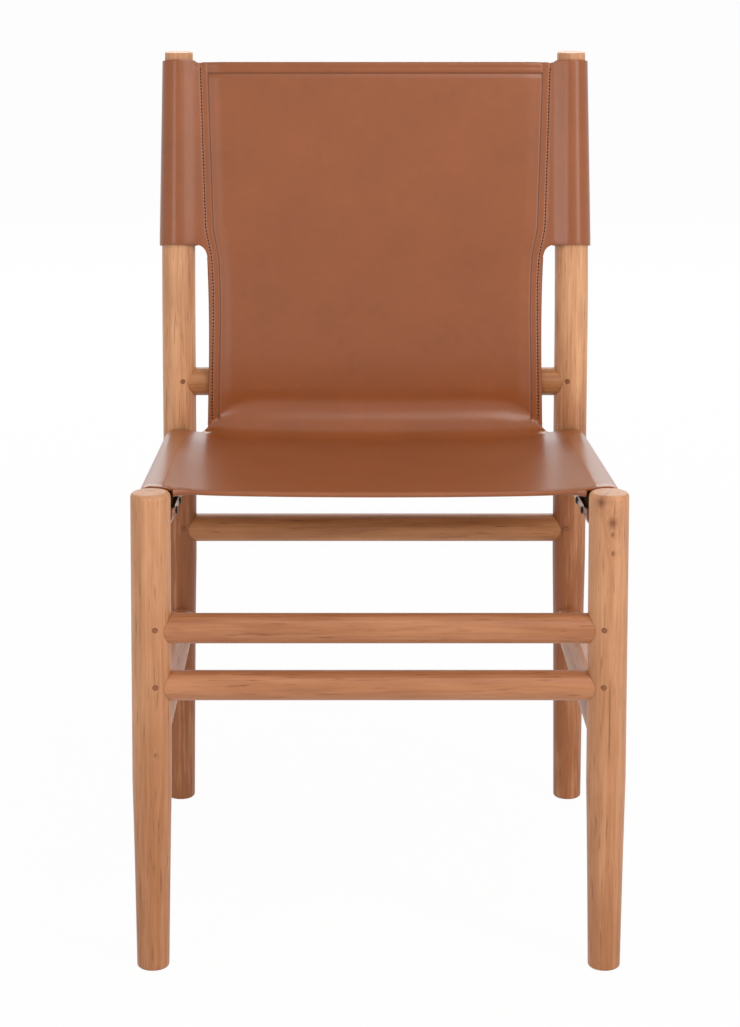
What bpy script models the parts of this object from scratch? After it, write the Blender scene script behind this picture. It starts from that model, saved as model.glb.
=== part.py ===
# Leather sling chair: a frame of turned wooden bars with a one-piece leather seat and back.
# Metres, +Z up. The front faces -Y and +X is to the right as seen from the front.
# The origin is the middle of the chair's outline, on the floor.
import math

import bmesh
import bpy
import numpy as np
from mathutils import Matrix, Vector

# Layout of the four legs, between their axes
LEG_SPREAD_FLOOR = 0.4149
LEG_SPREAD_SEAT = 0.4073
LEG_SPREAD_SEAT_HEIGHT = 0.420
LEG_DEPTH = 0.440

# Front legs
FRONT_LEG_HEIGHT = 0.450
FRONT_LEG_RADIUS = 0.0179
FRONT_FOOT_RADIUS = 0.0148
FRONT_TAPER_HEIGHT = 0.180
FRONT_TAPER_POWER = 0.85

# Rear posts: straight to the seat, bent above it and leaning back
REAR_POST_HEIGHT = 0.7912
REAR_POST_RADIUS = 0.0172
REAR_FOOT_RADIUS = 0.0146
REAR_TOP_RADIUS = 0.01445
REAR_TAPER_HEIGHT = 0.270
REAR_TAPER_POWER = 0.65
REAR_UPPER_TAPER_HEIGHT = 0.600
BEND_HALF_HEIGHT = 0.110
BACK_LEAN = math.radians(13.65)

# Turned ends of the front legs, and of the posts, whose leaning tops are sawn level
LEG_TOP_ROUND = 0.004
POST_TOP_ROUND = 0.0015
FOOT_ROUND = 0.0025

# Cross rails, round, at the height of their axes
FRONT_STRETCHER_RADIUS = 0.01365
FRONT_STRETCHER_UPPER_HEIGHT = 0.324
FRONT_STRETCHER_LOWER_HEIGHT = 0.2705
REAR_STRETCHER_RADIUS = 0.0146
REAR_STRETCHER_HEIGHT = 0.2985
BACK_RAIL_RADIUS = 0.0146

# Side stretchers, round, falling to the rear
SIDE_STRETCHER_RADIUS = 0.0146
SIDE_STRETCHER_INSET = 0.0015
SIDE_STRETCHER_FRONT_HEIGHT = 0.2255
SIDE_STRETCHER_REAR_HEIGHT = 0.1990

# Seat rails inside the leather, of a rounded section, hung from the front legs' tops
# and falling to the rear
SEAT_RAIL_WIDTH = 0.0268
SEAT_RAIL_THICKNESS = 0.033
SEAT_RAIL_ROUND = 0.008
SEAT_RAIL_FRONT_INSET = 0.0039
SEAT_RAIL_REAR_INSET = 0.0015
SEAT_RAIL_DROP = 0.0154
SEAT_RAIL_FALL = 0.0464
SEAT_RAIL_FRONT_HEIGHT = FRONT_LEG_HEIGHT - SEAT_RAIL_DROP
SEAT_RAIL_REAR_HEIGHT = SEAT_RAIL_FRONT_HEIGHT - SEAT_RAIL_FALL

# Heights on the rear posts that go by the seat's rear end
BEND_RISE = 0.1268
BACK_RAIL_RISE = 0.0673
WAIST_LOW_RISE = 0.0418
BEND_HEIGHT = SEAT_RAIL_REAR_HEIGHT + BEND_RISE
BACK_RAIL_HEIGHT = SEAT_RAIL_REAR_HEIGHT + BACK_RAIL_RISE
WAIST_LOW_HEIGHT = SEAT_RAIL_REAR_HEIGHT + WAIST_LOW_RISE

# Joints: round tenons in blind bores, each held by a pin across it
TENON_RADIUS = 0.008
TENON_PAST_AXIS = 0.006
TENON_CHAMFER = 0.001
PIN_RADIUS = 0.0023
PIN_INSET = 0.0045
PIN_RISE = 0.003
PIN_PAST_TENON = 0.003
PIN_PROUD = 0.0002
JOINT_GAP = 0.0003

# Leather
LEATHER_THICKNESS = 0.0022
LEATHER_GAP = 0.0003
SLEEVE_TOP_DROP = 0.0112
SLEEVE_TOP_HEIGHT = REAR_POST_HEIGHT - SLEEVE_TOP_DROP
SLEEVE_LOW_HEIGHT = 0.5955
SLEEVE_SEAM_RADIUS = 0.006
SLEEVE_FLAP_END = 0.162
PANEL_HALF_WIDTH = 0.1845
WAIST_WIDTH_TOP = 0.3475
WAIST_WIDTH_MIDDLE = 0.3435
WAIST_WIDTH_LOW = 0.3470
UPPER_NOTCH_RADIUS = 0.012
LOWER_NOTCH_RADIUS = 0.015
TOP_SCOOP = 0.004
BACK_HOLLOW = 0.0025
FOLD_SIDE_RADIUS = 0.0035
FOLD_MIDDLE_RADIUS = 0.030
SEAT_RISE_ANGLE = math.radians(15)
SEAT_DIP = 0.004
SEAT_SAG_ENDS = 0.0025
SEAT_SAG_MIDDLE = 0.0045
RAIL_FLAP_DROP = 0.0025
TOP_HEM_WIDTH = 0.012
FRONT_HEM_WIDTH = 0.016

# Tacks that hold the leather to the inner side of the seat rails
TACK_COUNT = 7
TACK_HEAD_RADIUS = 0.004
TACK_HEAD_HEIGHT = 0.0018
TACK_SHANK_RADIUS = 0.0009
TACK_SHANK_LENGTH = 0.010
TACK_POINT_LENGTH = 0.0018
TACK_DROP = 0.0085
TACK_FRONT_MARGIN = 0.027
TACK_REAR_MARGIN = 0.015

# How far cutters run past what they cut
OVERRUN = 0.020

# How finely round forms are divided
LEG_SEGMENTS = 28
RAIL_SEGMENTS = 24
TENON_SEGMENTS = 20
PIN_SEGMENTS = 12
TACK_SEGMENTS = 8
TACK_HOLE_SEGMENTS = 6
ROUND_STEPS = 3
TAPER_STEPS = 4
BEND_STEPS = 6
WRAP_STEPS = 12
SEAM_STEPS = 3
NOTCH_STEPS = 4
FOLD_STEPS = 4
HEM_STEPS = 3
WAIST_STEPS = 5
SEAT_STEPS = 3

# Places across the leather, as shares of its half width
COLUMN_SHARES = (-1, -0.84, -0.66, -0.44, -0.22, 0, 0.22, 0.44, 0.66, 0.84, 1)
# Places up the sleeves, as shares of their length from the top
SLEEVE_ROW_SHARES = (0, 0.45, 0.85, 1)
# Part of the back's half width over which its top edge dips from the posts
SCOOP_END_SHARE = 0.25
# Places on a tack's domed head, as shares of its radius
TACK_HEAD_SHARES = (0.5, 0.85)
# Bevels that are arcs of a circle
ROUND_PROFILE_SHARE = 0.5

WELD = 0.00001
SHARP_ANGLE = math.radians(35)
SIDES = {"left": -1, "right": 1}
STRAIGHT = math.pi
QUARTER = math.pi / 2

WOOD_COLOUR = (0.56, 0.30, 0.15, 1)
REAR_WOOD_COLOUR = (0.43, 0.21, 0.10, 1)
PIN_COLOUR = (0.20, 0.08, 0.03, 1)
LEATHER_COLOUR = (0.34, 0.13, 0.05, 1)
TACK_COLOUR = (0.03, 0.025, 0.02, 1)


def clear_scene():
    """Remove what the scene holds."""
    for thing in list(bpy.data.objects):
        bpy.data.objects.remove(thing)


def new_collection(name):
    """Collection linked to the scene."""
    group = bpy.data.collections.new(name)
    bpy.context.scene.collection.children.link(group)
    return group


def new_material(name, colour, roughness, metallic):
    """Plain Principled material."""
    made = bpy.data.materials.new(name)
    made.use_nodes = True
    made.diffuse_color = colour
    shader = made.node_tree.nodes["Principled BSDF"]
    shader.inputs["Base Color"].default_value = colour
    shader.inputs["Roughness"].default_value = roughness
    shader.inputs["Metallic"].default_value = metallic
    return made


def add_part(name, mesh, material):
    """Piece of the chair, a node of its own."""
    part = bpy.data.objects.new(name, mesh)
    part.data.materials.append(material)
    PARTS.objects.link(part)
    return part


def add_cutter(name, mesh):
    """Helper solid that shapes other pieces and is no piece of the chair."""
    cutter = bpy.data.objects.new(name, mesh)
    cutter.display_type = "WIRE"
    cutter.hide_render = True
    CUTTERS.objects.link(cutter)
    return cutter


def combine(part, tool, operation):
    """Boolean between a piece and a helper solid."""
    change = part.modifiers.new(tool.name, "BOOLEAN")
    change.operation = operation
    change.solver = "EXACT"
    change.object = tool


def settle(part):
    """Make a piece's modifiers its mesh, with round faces shaded smooth."""
    depsgraph = bpy.context.evaluated_depsgraph_get()
    mesh = bpy.data.meshes.new_from_object(part.evaluated_get(depsgraph))
    shape = bmesh.new()
    shape.from_mesh(mesh)
    bmesh.ops.remove_doubles(shape, verts=shape.verts, dist=WELD)
    bmesh.ops.dissolve_degenerate(shape, edges=shape.edges, dist=WELD)
    bmesh.ops.recalc_face_normals(shape, faces=shape.faces)
    shape.to_mesh(mesh)
    shape.free()
    mesh.shade_smooth()
    mesh.set_sharp_from_angle(angle=SHARP_ANGLE)
    part.modifiers.clear()
    part.data = mesh


def mesh_from(shape, name):
    """Mesh of a bmesh, which is freed."""
    mesh = bpy.data.meshes.new(name)
    shape.to_mesh(mesh)
    shape.free()
    return mesh


def rod_shape(start, end, radius, segments):
    """Round bar between two points, as a bmesh."""
    run = end - start
    place = Matrix.Translation((start + end) / 2) @ run.to_track_quat("Z", "Y").to_matrix().to_4x4()
    shape = bmesh.new()
    bmesh.ops.create_cone(
        shape, cap_ends=True, segments=segments, radius1=radius, radius2=radius,
        depth=run.length, matrix=place,
    )
    return shape


def turned(name, stations, segments):
    """Solid turned about Z, from (radius, height) stations listed from the top down."""
    profile = bpy.data.meshes.new(name)
    corners = [(radius, 0, height) for radius, height in stations]
    profile.from_pydata(corners, [(at, at + 1) for at in range(len(corners) - 1)], [])
    blank = bpy.data.objects.new(name, profile)
    CUTTERS.objects.link(blank)
    screw = blank.modifiers.new("turn", "SCREW")
    screw.axis = "Z"
    screw.steps = segments
    screw.render_steps = segments
    screw.use_merge_vertices = True
    screw.merge_threshold = WELD
    depsgraph = bpy.context.evaluated_depsgraph_get()
    mesh = bpy.data.meshes.new_from_object(blank.evaluated_get(depsgraph))
    bpy.data.objects.remove(blank)
    shape = bmesh.new()
    shape.from_mesh(mesh)
    bmesh.ops.remove_doubles(shape, verts=shape.verts, dist=WELD)
    bmesh.ops.recalc_face_normals(shape, faces=shape.faces)
    shape.to_mesh(mesh)
    shape.free()
    return mesh


def splay(height):
    """Distance of a leg's axis from the middle plane at a height."""
    share = height / LEG_SPREAD_SEAT_HEIGHT
    return (LEG_SPREAD_FLOOR + (LEG_SPREAD_SEAT - LEG_SPREAD_FLOOR) * share) / 2


def front_axis(side, height):
    """Point on a front leg's axis."""
    return Vector((side * splay(height), -LEG_DEPTH / 2, height))


def rear_lean(height):
    """How far a rear post has moved back at a height, and its lean there."""
    above = height - BEND_HEIGHT
    if above <= -BEND_HALF_HEIGHT:
        return 0, 0
    if above >= BEND_HALF_HEIGHT:
        return above * math.tan(BACK_LEAN), BACK_LEAN
    turn = (above + BEND_HALF_HEIGHT) / (BEND_HALF_HEIGHT + BEND_HALF_HEIGHT)
    back = turn * (above + BEND_HALF_HEIGHT) / 2
    return back * math.tan(BACK_LEAN), math.atan(turn * math.tan(BACK_LEAN))


def rear_axis(side, height):
    """Point on a rear post's axis."""
    back, _ = rear_lean(height)
    return Vector((side * splay(min(height, LEG_SPREAD_SEAT_HEIGHT)), LEG_DEPTH / 2 + back, height))


def ring_point(height, x, back):
    """Point in the plane square to the rear posts at a height of their axes."""
    _, lean = rear_lean(height)
    axis = rear_axis(1, height)
    return Vector((x, axis.y + back * math.cos(lean), axis.z - back * math.sin(lean)))


def front_radius(height):
    """Radius of a front leg at a height."""
    share = max(0, 1 - height / FRONT_TAPER_HEIGHT)
    return FRONT_LEG_RADIUS - (FRONT_LEG_RADIUS - FRONT_FOOT_RADIUS) * share ** FRONT_TAPER_POWER


def rear_radius(height):
    """Radius of a rear post at a height of its axis."""
    low = max(0, 1 - height / REAR_TAPER_HEIGHT)
    span = REAR_POST_HEIGHT - REAR_UPPER_TAPER_HEIGHT
    high = max(0, (height - REAR_UPPER_TAPER_HEIGHT) / span)
    low_loss = (REAR_POST_RADIUS - REAR_FOOT_RADIUS) * low ** REAR_TAPER_POWER
    return REAR_POST_RADIUS - low_loss - (REAR_POST_RADIUS - REAR_TOP_RADIUS) * high


def leg_levels(shoulder, breaks):
    """Heights of the rings of a leg from its shoulder, where its top edge starts to round, down."""
    levels = {shoulder}
    for high, low, steps in breaks:
        levels.update(float(level) for level in np.linspace(high, low, steps + 1))
    return sorted(levels, reverse=True)


def leg_stations(top, radius_at, levels):
    """Turned profile of a leg: rounded top edge, shaft, rounded foot with a flat base."""
    top_round = top - levels[0]
    stations = [(0, top)]
    for step in range(ROUND_STEPS):
        angle = QUARTER * step / ROUND_STEPS
        cut = top_round * (1 - math.sin(angle))
        stations.append((radius_at(top) - cut, top - top_round * (1 - math.cos(angle))))
    stations += [(radius_at(level), level) for level in levels]
    for step in range(1, ROUND_STEPS + 1):
        angle = QUARTER * step / ROUND_STEPS
        cut = FOOT_ROUND * (1 - math.cos(angle))
        stations.append((radius_at(0) - cut, FOOT_ROUND * (1 - math.sin(angle))))
    stations.append((0, 0))
    return stations


def envelope_stations(top, radius_at, levels, grow):
    """Profile of a cutter that follows a leg at a set distance and runs past its ends."""
    stations = [(0, top + OVERRUN), (radius_at(top) + grow, top + OVERRUN)]
    stations += [(radius_at(level) + grow, level) for level in levels]
    stations += [(radius_at(0) + grow, -OVERRUN), (0, -OVERRUN)]
    return stations


FRONT_LEVELS = leg_levels(
    FRONT_LEG_HEIGHT - LEG_TOP_ROUND, [(FRONT_TAPER_HEIGHT, FOOT_ROUND, TAPER_STEPS)]
)
REAR_LEVELS = leg_levels(
    REAR_POST_HEIGHT - POST_TOP_ROUND,
    [
        (BEND_HEIGHT + BEND_HALF_HEIGHT, REAR_UPPER_TAPER_HEIGHT, 1),
        (REAR_UPPER_TAPER_HEIGHT, BEND_HEIGHT - BEND_HALF_HEIGHT, BEND_STEPS),
        (REAR_TAPER_HEIGHT, FOOT_ROUND, TAPER_STEPS),
    ],
)


def carry_front(mesh, side):
    """Move a turned blank onto a front leg's splayed axis."""
    for vertex in mesh.vertices:
        axis = front_axis(side, vertex.co.z)
        vertex.co = (axis.x + vertex.co.x, axis.y + vertex.co.y, axis.z)


def carry_rear(mesh, side):
    """Move a turned blank onto a rear post's bent axis: rings square to it, those of its top level."""
    for vertex in mesh.vertices:
        height = vertex.co.z
        axis = rear_axis(side, height)
        if height < REAR_LEVELS[0] - WELD:
            vertex.co = ring_point(height, axis.x + vertex.co.x, vertex.co.y)
        else:
            _, lean = rear_lean(height)
            vertex.co = axis + Vector((vertex.co.x, vertex.co.y / math.cos(lean), 0))


def leg_mesh(name, stations, carry, side):
    """Turned leg or its envelope, carried to its place."""
    mesh = turned(name, stations, LEG_SEGMENTS)
    carry(mesh, side)
    return mesh


def make_legs():
    """The two front legs and the two rear posts, with envelopes for what meets them."""
    kinds = (
        ("front_leg_", FRONT_LEG_HEIGHT, front_radius, FRONT_LEVELS, carry_front, WOOD),
        ("rear_post_", REAR_POST_HEIGHT, rear_radius, REAR_LEVELS, carry_rear, REAR_WOOD),
    )
    for stem, top, radius_at, levels, carry, material in kinds:
        for word, side in SIDES.items():
            name = stem + word
            stations = leg_stations(top, radius_at, levels)
            LEGS[name] = add_part(name, leg_mesh(name, stations, carry, side), material)
            for use, grow in (("cope_", JOINT_GAP), ("flush_", PIN_PROUD)):
                stations = envelope_stations(top, radius_at, levels, grow)
                blank = leg_mesh(use + name, stations, carry, side)
                ENVELOPES[use + name] = add_cutter(use + name, blank)


def tenon_mesh(name, start, end):
    """Round bar with chamfered ends, whose two ends are a rail's tenons."""
    shape = rod_shape(start, end, TENON_RADIUS, TENON_SEGMENTS)
    ends = [face for face in shape.faces if len(face.verts) == TENON_SEGMENTS]
    rims = [edge for face in ends for edge in face.edges]
    bmesh.ops.bevel(
        shape, geom=rims, offset=TENON_CHAMFER, segments=1, affect="EDGES",
        profile=ROUND_PROFILE_SHARE,
    )
    return mesh_from(shape, name)


def seat_rail_mesh(name, side):
    """Seat rail without its tenons: a bar of rounded section that slopes along Y."""
    shape = bmesh.new()
    bmesh.ops.create_cube(shape, size=1)
    size = (SEAT_RAIL_WIDTH, LEG_DEPTH, SEAT_RAIL_THICKNESS)
    bmesh.ops.scale(shape, vec=size, verts=shape.verts)
    corners = [edge for edge in shape.edges if edge.verts[0].co.y != edge.verts[1].co.y]
    bmesh.ops.bevel(
        shape, geom=corners, offset=SEAT_RAIL_ROUND, segments=ROUND_STEPS, affect="EDGES",
        profile=ROUND_PROFILE_SHARE,
    )
    for vertex in shape.verts:
        vertex.co.x += side * seat_rail_x(vertex.co.y)
        vertex.co.z += seat_rail_height(vertex.co.y)
    return mesh_from(shape, name)


def along_rail(front, rear, y):
    """Value at a place along the chair that runs evenly from the front legs to the rear posts."""
    return front + (rear - front) * (y + LEG_DEPTH / 2) / LEG_DEPTH


def seat_rail_x(y):
    """Distance of a seat rail's axis from the middle plane at a place along the chair."""
    return LEG_SPREAD_SEAT / 2 - along_rail(SEAT_RAIL_FRONT_INSET, SEAT_RAIL_REAR_INSET, y)


def seat_rail_height(y):
    """Height of a seat rail's axis at a place along the chair."""
    return along_rail(SEAT_RAIL_FRONT_HEIGHT, SEAT_RAIL_REAR_HEIGHT, y)


def make_rail(name, body, ends, words, pin_way, material):
    """Rail coped to its two legs, with tenons in their bores and a pin across each.

    Each end is (leg name, point near the leg's axis), words tell its two pins apart, and
    pin_way is the direction in which they are driven.
    """
    (first_leg, first), (second_leg, second) = ends
    along = (second - first).normalized()
    rail = add_part(name, body, material)
    tenon_start = first - along * TENON_PAST_AXIS
    tenon_end = second + along * TENON_PAST_AXIS
    tenon = add_cutter("tenon_" + name, tenon_mesh("tenon_" + name, tenon_start, tenon_end))
    for leg in (first_leg, second_leg):
        combine(rail, ENVELOPES["cope_" + leg], "DIFFERENCE")
    combine(rail, tenon, "UNION")
    for leg, word, axis_point, inward in (
        (first_leg, words[0], first, along),
        (second_leg, words[1], second, -along),
    ):
        make_bore(leg, name, axis_point, along, inward)
        make_pin(leg, "pin_" + name + "_" + word, rail, axis_point, inward, pin_way)
    RAILS[name] = rail


def make_bore(leg, rail_name, axis_point, along, inward):
    """Blind bore in a leg for a rail's tenon."""
    bottom = axis_point - inward * (TENON_PAST_AXIS + JOINT_GAP)
    mouth = axis_point + inward * (FRONT_LEG_RADIUS + OVERRUN)
    start, end = (bottom, mouth) if inward == along else (mouth, bottom)
    shape = rod_shape(start, end, TENON_RADIUS + JOINT_GAP, TENON_SEGMENTS)
    name = "bore_" + leg + "_" + rail_name
    combine(LEGS[leg], add_cutter(name, mesh_from(shape, name)), "DIFFERENCE")


def make_pin(leg, name, rail, axis_point, inward, pin_way):
    """Pin driven across a tenon from the leg's face, and its hole in leg and tenon."""
    centre = axis_point + inward * PIN_INSET + Vector((0, 0, PIN_RISE))
    outside = centre - pin_way * (FRONT_LEG_RADIUS + OVERRUN)
    tip = centre + pin_way * (TENON_RADIUS + PIN_PAST_TENON)
    pin = add_part(name, mesh_from(rod_shape(outside, tip, PIN_RADIUS, PIN_SEGMENTS), name), PIN)
    combine(pin, ENVELOPES["flush_" + leg], "INTERSECT")
    hole_end = tip + pin_way * JOINT_GAP
    shape = rod_shape(outside, hole_end, PIN_RADIUS + JOINT_GAP, PIN_SEGMENTS)
    hole = add_cutter("hole_" + name, mesh_from(shape, "hole_" + name))
    combine(LEGS[leg], hole, "DIFFERENCE")
    combine(rail, hole, "DIFFERENCE")


def make_cross_rails():
    """Two front stretchers, the rear stretcher and the back rail."""
    cross = (
        ("front_stretcher_upper", "front_leg_", FRONT_STRETCHER_UPPER_HEIGHT,
         FRONT_STRETCHER_RADIUS, WOOD),
        ("front_stretcher_lower", "front_leg_", FRONT_STRETCHER_LOWER_HEIGHT,
         FRONT_STRETCHER_RADIUS, WOOD),
        ("rear_stretcher", "rear_post_", REAR_STRETCHER_HEIGHT, REAR_STRETCHER_RADIUS, REAR_WOOD),
        ("back_rail", "rear_post_", BACK_RAIL_HEIGHT, BACK_RAIL_RADIUS, REAR_WOOD),
    )
    for name, leg, height, radius, material in cross:
        axis = front_axis if leg == "front_leg_" else rear_axis
        left = axis(SIDES["left"], height)
        right = axis(SIDES["right"], height)
        body = mesh_from(rod_shape(left, right, radius, RAIL_SEGMENTS), name)
        ends = ((leg + "left", left), (leg + "right", right))
        make_rail(name, body, ends, ("left", "right"), Vector((0, 1, 0)), material)


def make_side_rails():
    """A seat rail and a side stretcher on each side."""
    for word, side in SIDES.items():
        legs = ("front_leg_" + word, "rear_post_" + word)
        pin_way = Vector((-side, 0, 0))
        inset = Vector((-side * SIDE_STRETCHER_INSET, 0, 0))
        front = front_axis(side, SIDE_STRETCHER_FRONT_HEIGHT) + inset
        rear = rear_axis(side, SIDE_STRETCHER_REAR_HEIGHT) + inset
        name = "side_stretcher_" + word
        body = mesh_from(rod_shape(front, rear, SIDE_STRETCHER_RADIUS, RAIL_SEGMENTS), name)
        ends = ((legs[0], front), (legs[1], rear))
        make_rail(name, body, ends, ("front", "rear"), pin_way, REAR_WOOD)
        front, rear = (
            Vector((side * seat_rail_x(y), y, seat_rail_height(y)))
            for y in (-LEG_DEPTH / 2, LEG_DEPTH / 2)
        )
        name = "seat_rail_" + word
        body = seat_rail_mesh(name, side)
        ends = ((legs[0], front), (legs[1], rear))
        make_rail(name, body, ends, ("front", "rear"), pin_way, REAR_WOOD)


def sleeve_offset(height):
    """Distance of the leather's middle layer from a rear post's axis."""
    return rear_radius(height) + LEATHER_GAP + LEATHER_THICKNESS / 2


def arc_angles(start, end, steps):
    """Corner angles of a polygon whose sides touch an arc, and how far out its corners lie."""
    step = (end - start) / steps
    return [start + step * (at + 0.5) for at in range(steps)], 1 / math.cos(step / 2)


def sleeve_wing(side, height):
    """Row of leather round a rear post, from its front to the end of the flap behind the panel."""
    offset = sleeve_offset(height)
    post = rear_axis(side, height).x
    flap_back = LEATHER_THICKNESS + LEATHER_GAP - offset
    seam_back = flap_back + SLEEVE_SEAM_RADIUS
    reach = math.sqrt((offset + SLEEVE_SEAM_RADIUS) ** 2 - seam_back ** 2)
    meet = STRAIGHT + STRAIGHT - math.atan2(reach, -seam_back)
    row = []
    angles, outer = arc_angles(0, meet, WRAP_STEPS)
    for angle in angles:
        x = post + side * offset * outer * math.sin(angle)
        row.append(ring_point(height, x, -offset * outer * math.cos(angle)))
    seam_x = post - side * reach
    angles, outer = arc_angles(math.atan2(-seam_back, reach), -QUARTER, SEAM_STEPS)
    for angle in angles:
        x = seam_x + side * SLEEVE_SEAM_RADIUS * outer * math.cos(angle)
        row.append(ring_point(height, x, seam_back + SLEEVE_SEAM_RADIUS * outer * math.sin(angle)))
    row.append(ring_point(height, side * SLEEVE_FLAP_END, flap_back))
    return row


def rail_wing(side, y):
    """Row of leather round a seat rail, from the seat to its free edge on the inner side."""
    offset = SEAT_RAIL_ROUND + LEATHER_GAP + LEATHER_THICKNESS / 2
    flat = SEAT_RAIL_WIDTH / 2 - SEAT_RAIL_ROUND
    tall = SEAT_RAIL_THICKNESS / 2 - SEAT_RAIL_ROUND
    centre_x, centre_z = seat_rail_x(y), seat_rail_height(y)
    row = []
    turns = (
        (-flat, tall, -SEAT_RISE_ANGLE, 0, 1),
        (flat, tall, 0, QUARTER, ROUND_STEPS),
        (flat, -tall, QUARTER, STRAIGHT, ROUND_STEPS),
        (-flat, -tall, STRAIGHT, STRAIGHT + QUARTER, ROUND_STEPS),
    )
    for out, up, start, end, steps in turns:
        angles, outer = arc_angles(start, end, steps)
        for angle in angles:
            x = centre_x + out + offset * outer * math.sin(angle)
            z = centre_z + up + offset * outer * math.cos(angle)
            row.append(Vector((side * x, y, z)))
    row.append(Vector((side * (centre_x - flat - offset), y, centre_z - RAIL_FLAP_DROP)))
    return row


def seat_height(x, y):
    """Height of the seat leather's middle layer between the rails."""
    offset = SEAT_RAIL_ROUND + LEATHER_GAP + LEATHER_THICKNESS / 2
    flat = SEAT_RAIL_WIDTH / 2 - SEAT_RAIL_ROUND
    tall = SEAT_RAIL_THICKNESS / 2 - SEAT_RAIL_ROUND
    leave_x = seat_rail_x(y) - flat - offset * math.sin(SEAT_RISE_ANGLE)
    leave_z = seat_rail_height(y) + tall + offset * math.cos(SEAT_RISE_ANGLE)
    fade = SEAT_DIP / math.tan(SEAT_RISE_ANGLE)
    dip = SEAT_DIP * (1 - math.exp(-(leave_x - abs(x)) / fade))
    share = (y - seat_front()) / (seat_rear() - seat_front())
    belly = math.sin(STRAIGHT * min(1, max(0, share)))
    sag = SEAT_SAG_ENDS + (SEAT_SAG_MIDDLE - SEAT_SAG_ENDS) * belly
    return leave_z - dip - sag * (1 - (x / leave_x) ** 2)


def seat_front():
    """Front edge of the seat leather, just behind the front legs."""
    return -LEG_DEPTH / 2 + FRONT_LEG_RADIUS + LEATHER_GAP


def seat_rear():
    """Plane of the leather where it comes down in front of the rear posts."""
    return ring_point(WAIST_LOW_HEIGHT, 0, -sleeve_offset(WAIST_LOW_HEIGHT)).y


def seat_slope():
    """Angle of the seat rails to the floor."""
    return math.atan((SEAT_RAIL_FRONT_HEIGHT - SEAT_RAIL_REAR_HEIGHT) / LEG_DEPTH)


def middle_share(x, half_width):
    """One in the middle of the leather, nought at its side edges."""
    return 1 - (x / half_width) ** 2


def fold_point(x, half_width, share):
    """Point on the fold from back to seat: share nought at its top, one where the seat starts."""
    middle = middle_share(x, half_width)
    radius = FOLD_SIDE_RADIUS + (FOLD_MIDDLE_RADIUS - FOLD_SIDE_RADIUS) * middle
    turn = QUARTER + seat_slope()
    length = LOWER_NOTCH_RADIUS + (FOLD_MIDDLE_RADIUS * turn - LOWER_NOTCH_RADIUS) * middle
    left = (1 - share) * length
    y = seat_rear() - radius
    centre_z = seat_height(x, y) + radius / math.cos(seat_slope())
    if left > radius * turn:
        return Vector((x, seat_rear(), centre_z + left - radius * turn))
    angle = turn - left / radius
    return Vector((x, y + radius * math.cos(angle), centre_z - radius * math.sin(angle)))


def waist_half_width(height):
    """Half width of the leather between its sleeves and its seat."""
    top = SLEEVE_LOW_HEIGHT - UPPER_NOTCH_RADIUS
    place = (height - WAIST_LOW_HEIGHT) / (top - WAIST_LOW_HEIGHT) * 2 - 1
    mean = (WAIST_WIDTH_TOP + WAIST_WIDTH_LOW) / 2
    lean = (WAIST_WIDTH_TOP - WAIST_WIDTH_LOW) / 2
    return (WAIST_WIDTH_MIDDLE + lean * place + (mean - WAIST_WIDTH_MIDDLE) * place ** 2) / 2


def back_point(height, x, half_width):
    """Point on the back's middle layer, slightly hollow between the posts."""
    span = SLEEVE_TOP_HEIGHT - BEND_HEIGHT + BEND_HALF_HEIGHT
    share = (SLEEVE_TOP_HEIGHT - height) / span
    hollow = BACK_HOLLOW * math.sin(STRAIGHT * min(1, max(0, share))) * middle_share(x, half_width)
    return ring_point(height, x, hollow - sleeve_offset(height))


def back_row(height, half_width, scoop):
    """Row across the back, its middle lower than its sides by a scoop."""
    row = []
    for share in COLUMN_SHARES:
        x = share * half_width
        lower = scoop * min(1, (1 - abs(share)) / SCOOP_END_SHARE)
        row.append(back_point(height - lower, x, half_width))
    return row


def hem_turn(edge, along, across, width):
    """Rows that turn a hem over: past an edge point, across to the other face and back."""
    radius = (LEATHER_THICKNESS + LEATHER_GAP) / 2
    angles, outer = arc_angles(-QUARTER, QUARTER, HEM_STEPS)
    points = []
    for angle in angles:
        past = radius * outer * math.cos(angle)
        points.append(edge + along * past + across * radius * (1 + outer * math.sin(angle)))
    points.append(edge + across * (radius + radius) - along * width)
    return points


def top_hem_rows():
    """Rows of the hem behind the back's top edge, from its free edge up."""
    _, lean = rear_lean(SLEEVE_TOP_HEIGHT)
    up = Vector((0, math.sin(lean), math.cos(lean)))
    back = Vector((0, math.cos(lean), -math.sin(lean)))
    top = back_row(SLEEVE_TOP_HEIGHT, PANEL_HALF_WIDTH, TOP_SCOOP)
    hem = [hem_turn(point, up, back, TOP_HEM_WIDTH) for point in top[1:-1]]
    return [
        ([None] + [turn[at] for turn in hem] + [None], None, None)
        for at in reversed(range(HEM_STEPS + 1))
    ]


def sleeve_rows():
    """Rows across the back and round both posts."""
    rows = []
    for share in SLEEVE_ROW_SHARES:
        height = SLEEVE_TOP_HEIGHT + (SLEEVE_LOW_HEIGHT - SLEEVE_TOP_HEIGHT) * share
        scoop = TOP_SCOOP if share == 0 else 0
        panel = back_row(height, PANEL_HALF_WIDTH, scoop)
        rows.append((panel, sleeve_wing(-1, height), sleeve_wing(1, height)))
    return rows


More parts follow.
